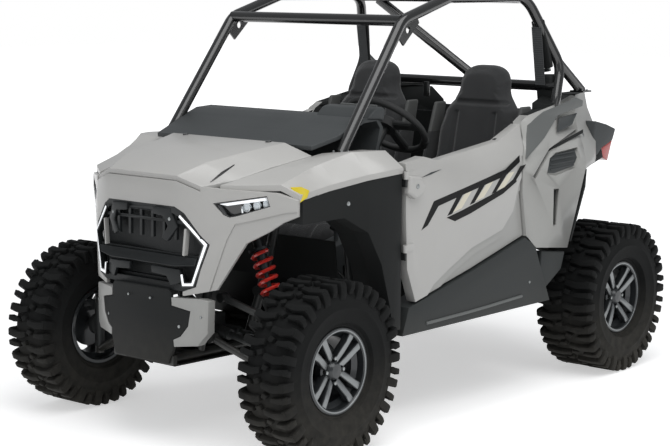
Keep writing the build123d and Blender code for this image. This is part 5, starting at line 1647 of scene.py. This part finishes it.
@dataclass
class Doors:
    """Half doors: stepped skin with painted shade on its steps, film stripes, a dark film behind the hinge
    cover as its painted shadow, hinge cover and latch.
    """

    skin_y: float = 0.7
    film: float = 0.0006
    sunk: float = 0.0004
    boss: tuple[Flat, ...] = ((5.75, 10.3), (5.05, 10.2), (4.72, 9.86), (4.9, 9.5), (5.35, 9.35), (5.8, 9.6))
    # Outline of the dark film behind the hinge cover, which paints the cover's shadow
    shadow: tuple[Flat, ...] = ((4.7, 10.12), (4.1, 10.28), (3.45, 10.34), (4.1, 10.2))
    sweep_film: tuple[Flat, ...] = ((4.68, 8.05), (3.9, 9.12), (1.7, 9.5), (-0.95, 9.98), (-1.95, 10.5),
                                    (-1.99, 10.22), (-0.98, 9.72), (1.6, 9.27), (3.6, 8.9), (4.28, 8.2))
    lower_film: tuple[Flat, ...] = ((3.05, 8.38), (2.0, 8.58), (0.1, 9.0), (-0.9, 9.25), (-1.75, 9.62),
                                    (-1.78, 9.4), (-0.8, 8.98), (0.2, 8.72), (1.4, 8.4), (2.5, 8.18))
    blades: tuple[float, ...] = (3.0, 1.5, 0.0, -1.3)

    def build(self) -> None:
        """Makes both doors' pieces."""
        for side in Side:
            body = f"door_{side.name.lower()}"
            self.panel(body)
            pieces = {"film_stripes": (self.stripes(), GRAPHIC_BLACK, "trim_black"),
                      "film_accents": (self.accents(), GRAPHIC_CREAM, "side_grey"),
                      "hinge_cover": (self.hinge_cover(), BODY_GREY, "body_grey"),
                      "hinge_bolt": (self.hinge_bolt(), STEEL, "steel"),
                      # Dark film behind the hinge cover: painted shadow
                      "crease": (self.crease(), DASH_PLASTIC, "dash_grey"),
                      "latch": (self.latch(), BLACK_PLASTIC, "trim_black")}
            for name, (piece, finish, slot) in pieces.items():
                if side is Side.RIGHT:
                    turned = mirrored(piece)
                    bpy.data.objects.remove(piece)
                    piece = turned
                dress(leaned_in(piece), f"{body}_{name}", finish, body)

    def panel(self, body: str) -> None:
        """Door panel whose stepped-in faces take the darker mid grey as painted shade of the steps.

        Args:
            body: the door's body, and its node's name.
        """
        skin = node_copy(body)
        for finish in (BODY_GREY, PANEL_GREY, BLACK_PLASTIC):
            skin.data.materials.append(finish.material())
        for face in skin.data.polygons:
            inset = self.skin_y - abs(face.center.y)
            if looks_inward(face):
                face.material_index = 2
            # Faces stepped in by 4 to 18 mm take the mid grey: painted shade of the steps
            elif abs(face.normal.y) > 0.9 and 0.004 < inset < 0.018:
                face.material_index = 1
        leaned_in(skin)
        rounded(skin, 0.004, angle=PANEL_EDGE_ANGLE)
        dress(skin, f"{body}_skin", BODY_GREY, body, PANEL_SHADE_ANGLE)
        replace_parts(skin, body)

    def stripes(self) -> Body:
        """Black film: two long tapering sweeps joined by leaning blades.

        Returns:
            One object for the left door.
        """
        pieces = [self.cut_film(shares, 1.0) for shares in (self.sweep_film, self.lower_film)]
        for start in self.blades:
            foot, head = (3.0 - start) * 0.2, (3.0 - start) * 0.17
            blade = [(start, 8.45 + foot), (start - 0.3, 8.5 + foot), (start - 1.15, 9.35 + head),
                     (start - 0.75, 9.3 + head)]
            pieces.append(self.cut_film(blade, 1.5))
        return joined(pieces)

    def accents(self) -> Body:
        """Cream film between the blades.

        Returns:
            One object for the left door.
        """
        pieces = []
        for start in self.blades[:3]:
            rise = (3.0 - start) * 0.2
            patch = [(start - 0.38, 8.56 + rise), (start - 0.95, 8.66 + rise),
                     (start - 1.62, 9.3 + rise * 0.9), (start - 1.2, 9.28 + rise * 0.9)]
            pieces.append(self.cut_film(patch, 0.5))
        return joined(pieces)

    def cut_film(self, shares: Iterable[Flat], layers: float) -> Body:
        """A cut piece of film on the door's skin."""
        return side_plate(shares, self.skin_y - self.sunk, self.skin_y + self.film * layers, 0.0)

    def hinge_cover(self) -> Body:
        """Moulded boss over the upper hinge, with a pointed tail.

        Returns:
            The boss of the left door.
        """
        boss = side_plate(self.boss, self.skin_y - 0.001, self.skin_y + 0.022, 0.0)
        recessed(boss, LEFT, 0.008, (0, 0.006, 0), walled=False)
        return rounded(boss, 0.004, angle=20.0)

    def hinge_bolt(self) -> Body:
        """Bolt in the middle of the hinge cover."""
        return domed((station(5.3), self.skin_y + 0.027, 0.985), LEFT, 0.010, 0.004, 24)

    def crease(self) -> Body:
        """Short dark film behind the hinge cover: painted shadow of the cover."""
        return side_plate(self.shadow, self.skin_y - self.sunk, self.skin_y + 0.0008, 0.0)

    def latch(self) -> Body:
        """Inner release paddle on the door's top, near its rear edge."""
        paddle = bar((station(-1.35), 0.672, 1.145), (station(-0.45), 0.672, 1.115), 0.022, 0.016)
        return rounded(paddle, 0.005)


@dataclass
class SidePanels:
    """Dark inserts, slots and bolts of the body's sides behind the doors, and a lighter strip along each sill
    step that paints its highlight.
    """

    skin_y: float = 0.7
    slot_floor: float = 0.6862
    intake_floor: float = 0.6865
    wing: tuple[Flat, ...] = ((-2.42, 10.3), (-2.42, 11.72), (-3.62, 12.22), (-4.5, 12.38), (-6.2, 12.7),
                              (-6.72, 12.55), (-6.68, 12.3), (-4.74, 12.0), (-3.75, 11.1))
    wing_hollow: tuple[Flat, ...] = ((-4.84, 11.9), (-6.24, 12.03), (-5.88, 11.55), (-4.72, 11.28))
    intake: tuple[Flat, ...] = ((-4.16, 9.56), (-4.34, 10.12), (-4.78, 10.32), (-6.36, 10.44), (-6.58, 10.05),
                                (-6.3, 9.7), (-4.8, 9.5))
    flap: tuple[Flat, ...] = ((-3.9, 6.21), (-5.71, 5.98), (-5.44, 5.24), (-3.69, 4.25))
    arch: tuple[Flat, ...] = ((-7.24, 9.5), (-7.16, 8.72), (-6.1, 6.4))
    # Line of the sill step; the lighter strip along it is a painted highlight
    step: tuple[Flat, ...] = ((4.3, 4.3), (1.65, 4.34), (0.16, 4.38), (-2.34, 4.48))
    long_slot: tuple[Flat, ...] = ((-3.05, 9.52), (-4.22, 10.58), (-7.05, 11.26), (-7.05, 11.09),
                                   (-4.3, 10.48), (-3.2, 9.45))
    upright_slot: tuple[Flat, ...] = ((-4.64, 8.8), (-5.0, 8.77), (-4.86, 7.3), (-4.65, 7.26))
    slats: int = 4
    slat_pitch: float = 0.020
    first_slat: float = 0.968

    def build(self) -> None:
        """Makes both sides' pieces."""
        skin = self.skin_y
        wing = side_plate(self.wing, skin - 0.001, skin + 0.004, 0.002)
        dress(leaned_in(both_sides(wing)), "rear_wing_inserts", INSERT_GREY)
        hollow = side_plate(self.wing_hollow, skin, skin + 0.0055, 0.0)
        recessed(hollow, LEFT, 0.005, (0, -0.005, 0), walled=False)
        rounded(hollow, 0.001, 2)
        dress(leaned_in(both_sides(hollow)), "rear_wing_vents", DASH_PLASTIC)
        dress(leaned_in(both_sides(self.louvres())), "side_intake_louvres", DASH_PLASTIC)
        slots = [side_plate(shares, self.slot_floor, self.slot_floor + 0.001, 0.0004, 2)
                 for shares in (self.long_slot, self.upright_slot)]
        dress(leaned_in(both_sides(joined(slots))), "side_slots", BLACK_PLASTIC)
        flap = side_plate(self.flap, 0.655, 0.694, 0.005)
        dress(both_sides(flap), "rear_flaps", SILL_PLASTIC)
        lip = rounded(plate(ribbon(outline(self.arch), 0.014), View.FROM_SIDE, 0.64, 0.697), 0.003, 2)
        dress(both_sides(lip), "rear_arch_lips", BLACK_PLASTIC)
        # Raised strip along the sill step in the lighter insert grey: painted highlight of the light on the
        # step
        step = rounded(plate(ribbon(outline(self.step), 0.012), View.FROM_SIDE, 0.694, 0.707), 0.004)
        dress(both_sides(step), "sill_step_strips", INSERT_GREY)
        bolts = tail_tapered(leaned_in(tapered(both_sides(joined(self.bolts())))))
        dress(bolts, "side_bolts", STEEL)

    def louvres(self) -> Body:
        """Louvred panel in the left side intake.

        Returns:
            The panel with its slats.
        """
        pieces = [side_plate(self.intake, self.intake_floor, self.intake_floor + 0.002, 0.0008, 2)]
        for index in range(self.slats):
            z = self.first_slat + index * self.slat_pitch
            slat = bar((station(-4.45), 0.690, z), (station(-6.3), 0.690, z + 0.006), 0.008, 0.005)
            pieces.append(rounded(slat, 0.0015, 2))
        return joined(pieces)

    def bolts(self) -> list[Body]:
        """Bolt heads of the left rear quarter, front flare and sill.

        Returns:
            One object for each bolt.
        """
        return [domed((station(-7.9), self.skin_y, 1.095), LEFT, 0.009, 0.004),
                domed((station(9.1), self.skin_y - 0.0008, 0.952), LEFT, 0.008, 0.004),
                domed((station(-2.9), self.skin_y, 0.5), LEFT, 0.006, 0.003)]


@dataclass
class Seats:
    """Two bucket seats: foam cushions and backs padded by cloth simulation, then sewn."""

    voxel: float = 0.0065
    coarse_voxel: float = 0.012
    pressure: float = 4.0
    frames: int = 20
    cap: float = 0.012
    shrink: float = 0.007
    vinyl_from: float = 1.1
    middle_y: float = 0.31
    channel_y: float = 0.125
    channel_reach: float = 0.014
    channel_depth: float = 0.009
    cord: float = 0.0045
    welt: tuple[Flat, ...] = ((-0.318, 0.78), (-0.392, 0.93), (-0.449, 1.07), (-0.462, 1.115))

    def build(self) -> None:
        """Makes both seats' cushions, backs, bolsters and seams."""
        for node, word in (("seat_cushions", "cushion"), ("seat_backs", "back")):
            pad = self.padded(self.left_part(node), word)
            for obj, side in ((pad, "left"), (mirrored(pad), "right")):
                dress(obj, f"seat_{word}_{side}", SEAT_CLOTH, angle=60.0)
                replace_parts(obj, node)
        self.bolsters()
        self.piping()

    def left_part(self, node: str) -> Body:
        """The left seat's solid of a node, drawn in a little so that it can swell.

        Args:
            node: the CAD node of both seats' parts.

        Returns:
            The left seat's part, rounded.
        """
        kept = None
        for part in loose_parts(node_copy(node)):
            if middle_of(part).y > 0:
                kept = part
            else:
                bpy.data.objects.remove(part)
        for axis in range(3):
            places = [vertex.co[axis] for vertex in kept.data.vertices]
            low, high = min(places), max(places)
            share = 1 - 2 * self.shrink / (high - low)
            for vertex in kept.data.vertices:
                vertex.co[axis] = (low + high) / 2 + (vertex.co[axis] - (low + high) / 2) * share
        return rounded(kept, 0.03, 4, PANEL_EDGE_ANGLE)

    def padded(self, obj: Body, word: str) -> Body:
        """Remeshes a form and swells it as stuffed cloth.

        Args:
            obj: the plain form.
            word: cushion or back.

        Returns:
            The same object, swollen and subdivided once.
        """
        take(obj)
        remesh = obj.modifiers.new("remesh", "REMESH")
        remesh.mode = "VOXEL"
        remesh.voxel_size = self.voxel
        apply_all(obj)
        self.swell(obj)
        self.channels(obj, word)
        finer = obj.modifiers.new("finer", "SUBSURF")
        finer.levels = finer.render_levels = 1
        apply_all(obj)
        LOG.info("%s swollen: %d faces", word, len(obj.data.polygons))
        return obj

    def swell(self, obj: Body) -> None:
        """Blows a form up as cloth under pressure, each point by no more than the cap.

        Args:
            obj: the remeshed form.
        """
        before = [vertex.co.copy() for vertex in obj.data.vertices]
        cloth = obj.modifiers.new("cloth", "CLOTH")
        cloth.settings.use_pressure = True
        cloth.settings.uniform_pressure_force = self.pressure
        cloth.settings.effector_weights.gravity = 0.0
        cloth.settings.quality = 5
        cloth.point_cache.frame_end = self.frames
        for number in range(1, self.frames + 1):
            bpy.context.scene.frame_set(number)
        apply_all(obj)
        for vertex, start in zip(obj.data.vertices, before):
            move = vertex.co - start
            if move.length > self.cap:
                vertex.co = start + move * (self.cap / move.length)
        bpy.context.scene.frame_set(1)

    def channels(self, obj: Body, word: str) -> None:
        """Presses the sewn channels into the padded form.

        Args:
            obj: the swollen form.
            word: cushion or back.
        """
        for vertex in obj.data.vertices:
            across = vertex.co.y - self.middle_y
            if word == "back":
                line = abs(abs(across) - (0.105 - 0.02 * max(vertex.co.z - 1.0, 0)))
                lines = [line] if vertex.co.z < 1.2 else []
                if abs(across) < 0.15 and vertex.co.z > 0.75:
                    lines += [abs(vertex.co.z - level) for level in (0.86, 1.24)]
                inward = Vector((-1, 0, -0.25)).normalized()
                facing = vertex.normal.dot(Vector((1, 0, 0.2)))
            else:
                lines = [abs(abs(across) - self.channel_y)]
                if abs(across) < self.channel_y:
                    lines += [abs(vertex.co.x - level) for level in (-0.15, -0.02)]
                inward = Vector((0, 0, -1))
                facing = vertex.normal.z
            if facing < 0.4 or not lines:
                continue
            near = min(lines)
            if near < self.channel_reach:
                vertex.co += inward * self.channel_depth * (1 - (near / self.channel_reach) ** 2)

    def bolsters(self) -> None:
        """Grey vinyl side wings of the backs."""
        skin = node_copy("seat_bolsters")
        open_mesh(skin)
        bpy.ops.mesh.select_all(action="SELECT")
        bpy.ops.mesh.bisect(plane_co=(0, 0, self.vinyl_from), plane_no=(0, 0, 1))
        close_mesh()
        for finish in (BOLSTER_VINYL, SEAT_CLOTH):
            skin.data.materials.append(finish.material())
        for face in skin.data.polygons:
            face.material_index = int(face.center.z < self.vinyl_from)
        rounded(skin, 0.009, 4, PANEL_EDGE_ANGLE)
        dress(skin, "seat_bolster_skins", BOLSTER_VINYL, angle=PANEL_SHADE_ANGLE)
        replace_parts(skin, "seat_bolsters")

    def piping(self) -> None:
        """Welt cords down the front edges of both backs, from shoulder to seat."""
        cords = []
        for across in (0.099, 0.521):
            line = [(x, across, z) for x, z in self.welt]
            for start, end in zip(line, line[1:]):
                cords.append(round_bar(start, end, self.cord, 12))
                cords.append(domed(end, UP, self.cord, self.cord, 12))
        dress(both_sides(joined(cords)), "seat_piping", SEAT_VINYL)


@dataclass
class Cab:
    """Dash binnacle, screen, steering wheel trim and gear knob."""

    hub: Point = (0.2438, 0.33, 1.18)
    tilt: float = 50.0
    ring: float = 0.172
    hood: tuple[Flat, ...] = ((5.35, 12.28), (4.75, 12.78), (4.2, 12.86), (4.0, 12.7), (4.12, 12.1),
                              (4.5, 12.2))
    screen_z: float = 1.238

    def build(self) -> None:
        """Makes the cab's pieces."""
        self.binnacle()
        self.wheel_trim()
        knob = rounded(round_bar((station(1.6), 0, 0.742), (station(1.6), 0, 0.775), 0.023), 0.008, 4)
        dress(knob, "gear_knob", GRIP_RUBBER)

    def binnacle(self) -> None:
        """Instrument hood on the dash with its dark screen and bezel."""
        hood = side_plate(self.hood, 0.19, 0.47, 0.0)
        open_mesh(hood)
        pick_faces(hood, lambda normal: abs(normal.y) > FACING)
        bpy.ops.transform.resize(value=(0.86, 1.0, 0.8), center_override=(station(4.5), 0.33, 1.22))
        close_mesh()
        rounded(hood, 0.014, 4, PANEL_EDGE_ANGLE)
        dress(hood, "instrument_hood", DASH_PLASTIC, angle=PANEL_SHADE_ANGLE)
        face = self.upright(4.045, 0.25, 0.41, 0.006, 0.062)
        dress(rounded(face, 0.002), "instrument_screen", GLOSS_TRIM)
        bezel = self.upright(4.05, 0.235, 0.425, 0.008, 0.078)
        dress(rounded(bezel, 0.003), "instrument_bezel", INSERT_GREY)
        pad = plate([(0.0, 1.2), (0.14, 1.215), (0.15, 1.165), (0.02, 1.15)], View.FROM_FRONT, station(4.12),
                    station(4.3))
        dress(rounded(pad, 0.006), "dash_switch_panel", DASH_PLASTIC)

    def upright(self, share: float, right: float, left: float, depth: float, height: float) -> Body:
        """A leant slab across the binnacle, at a station and between two places along Y."""
        x, z = station(share), self.screen_z
        return bar((x, right, z), (x, left, z), depth, height, (0.15, 0, 1))

    def wheel_plane(self) -> Matrix:
        """Matrix from a flat steering wheel at the origin to its place.

        Returns:
            The matrix for pieces made round the origin.
        """
        tilt = math.radians(self.tilt)
        normal = Vector((-math.cos(tilt), 0, math.sin(tilt)))
        first = Vector(LEFT)
        turn = Matrix((first, normal.cross(first), normal)).transposed().to_4x4()
        return Matrix.Translation(self.hub) @ turn

    def wheel_trim(self) -> None:
        """Moulded centre pad, spoke covers and thumb grips of the steering wheel."""
        pieces = [rounded(round_bar((0, 0, 0.0), (0, 0, 0.024), 0.05, 6), 0.010, 4)]
        for angle in (0, 90, 180):
            cover = bar(tuple(turned_way(angle, 0.04)), tuple(turned_way(angle, 0.158)), 0.042, 0.018)
            cover.data.transform(Matrix.Translation((0, 0, 0.004)))
            pieces.append(rounded(cover, 0.006))
        for angle in (40, 140):
            way, along = turned_way(angle, self.ring), turned_way(angle + 90, 0.03)
            grip = round_bar(tuple(way - along), tuple(way + along), 0.0172, 20)
            pieces.append(rounded(grip, 0.006))
        trim = joined(pieces)
        trim.data.transform(self.wheel_plane())
        dress(trim, "steering_wheel_trim", GRIP_RUBBER, "steering_wheel")


@dataclass
class CageFittings:
    """Belt guides, retractors, foot bolts and a hook bracket."""

    bolt_circle: float = 0.028
    front_foot: Point = (MIDDLE_X + 6.94 * STATION, 0.478, 1.1145)
    rear_foot: Point = (MIDDLE_X - 8.85 * STATION, 0.555, 1.2835)

    def build(self) -> None:
        """Makes the cage's small pieces."""
        guides, metal = [], []
        for side in (1, -1):
            guide = bar((-0.602, side * 0.497, 1.60), (-0.648, side * 0.520, 1.39), 0.062, 0.02, (1, 0, 0.2))
            guides.append(rounded(guide, 0.007))
            ring = bar((-0.645, side * 0.513, 1.388), (-0.650, side * 0.516, 1.372), 0.052, 0.008, FORWARD)
            metal.append(rounded(ring, 0.0025))
            reel = bar((-0.660, side * 0.51, 1.36), (-0.672, side * 0.515, 1.245), 0.085, 0.06, FORWARD)
            guides.append(rounded(reel, 0.012, 4))
            for angle in (45, 135, 225, 315):
                way = turned_way(angle, self.bolt_circle)
                for x, y, z in (self.front_foot, self.rear_foot):
                    metal.append(domed((x + way.x, side * y + way.y, z), UP, 0.0055, 0.004, 12))
        hook = bar((-0.615, -0.118, 1.305), (-0.612, -0.118, 1.235), 0.03, 0.012, FORWARD)
        dress(joined(guides), "belt_guides", BLACK_PLASTIC)
        dress(rounded(hook, 0.003), "cage_hook_bracket", GLOSS_COAT)
        dress(joined(metal), "cage_bolts", STEEL)


@dataclass
class Rear:
    """Tail lamps in dark housings behind the quarters' tails."""

    housing: tuple[Flat, ...] = ((-10.3, 11.35), (-11.27, 11.14), (-12.05, 10.89), (-11.8, 10.36),
                                 (-10.86, 10.05), (-10.5, 9.75), (-9.9, 9.8))
    lens: tuple[Flat, ...] = ((-10.86, 10.06), (-11.8, 10.38), (-11.42, 9.43), (-11.0, 9.6))
    under: tuple[Flat, ...] = ((-10.5, 9.78), (-10.86, 10.05), (-11.02, 9.62), (-9.72, 9.26), (-9.9, 9.7))
    inner: float = 0.44
    outer: float = 0.552

    def build(self) -> None:
        """Makes the tail lamps."""
        housing = side_plate(self.housing, self.inner, self.outer, 0.008, 4)
        dress(both_sides(housing), "tail_lamp_housings", DASH_PLASTIC)
        lens = side_plate(self.lens, self.inner + 0.004, self.outer - 0.004, 0.0)
        recessed(lens, BACK, 0.006, (-0.004, 0, 0), walled=False, least=0.5)
        lenses = both_sides(rounded(lens, 0.005, 4, 20.0))
        dress(lenses, "tail_lamp_lenses", RED_LENS, angle=PANEL_SHADE_ANGLE)
        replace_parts(lenses, "tail_lamps")
        under = side_plate(self.under, self.inner, self.outer - 0.002, 0.004)
        dress(both_sides(under), "tail_lamp_trims", BLACK_PLASTIC)


def main() -> None:
    """Builds every sub-assembly in order and reports its pieces."""
    logging.basicConfig(level=logging.INFO, format="%(name)s %(message)s")
    for part in (BodyPanels(), CarriedNodes(), Tyres(), Rims(), FrontEnd(), Doors(), SidePanels(), Rear(),
                 Seats(), Cab(), CageFittings(), Studio()):
        part.build()
        LOG.info("%s done", type(part).__name__)


if __name__ == "__main__":
    main()
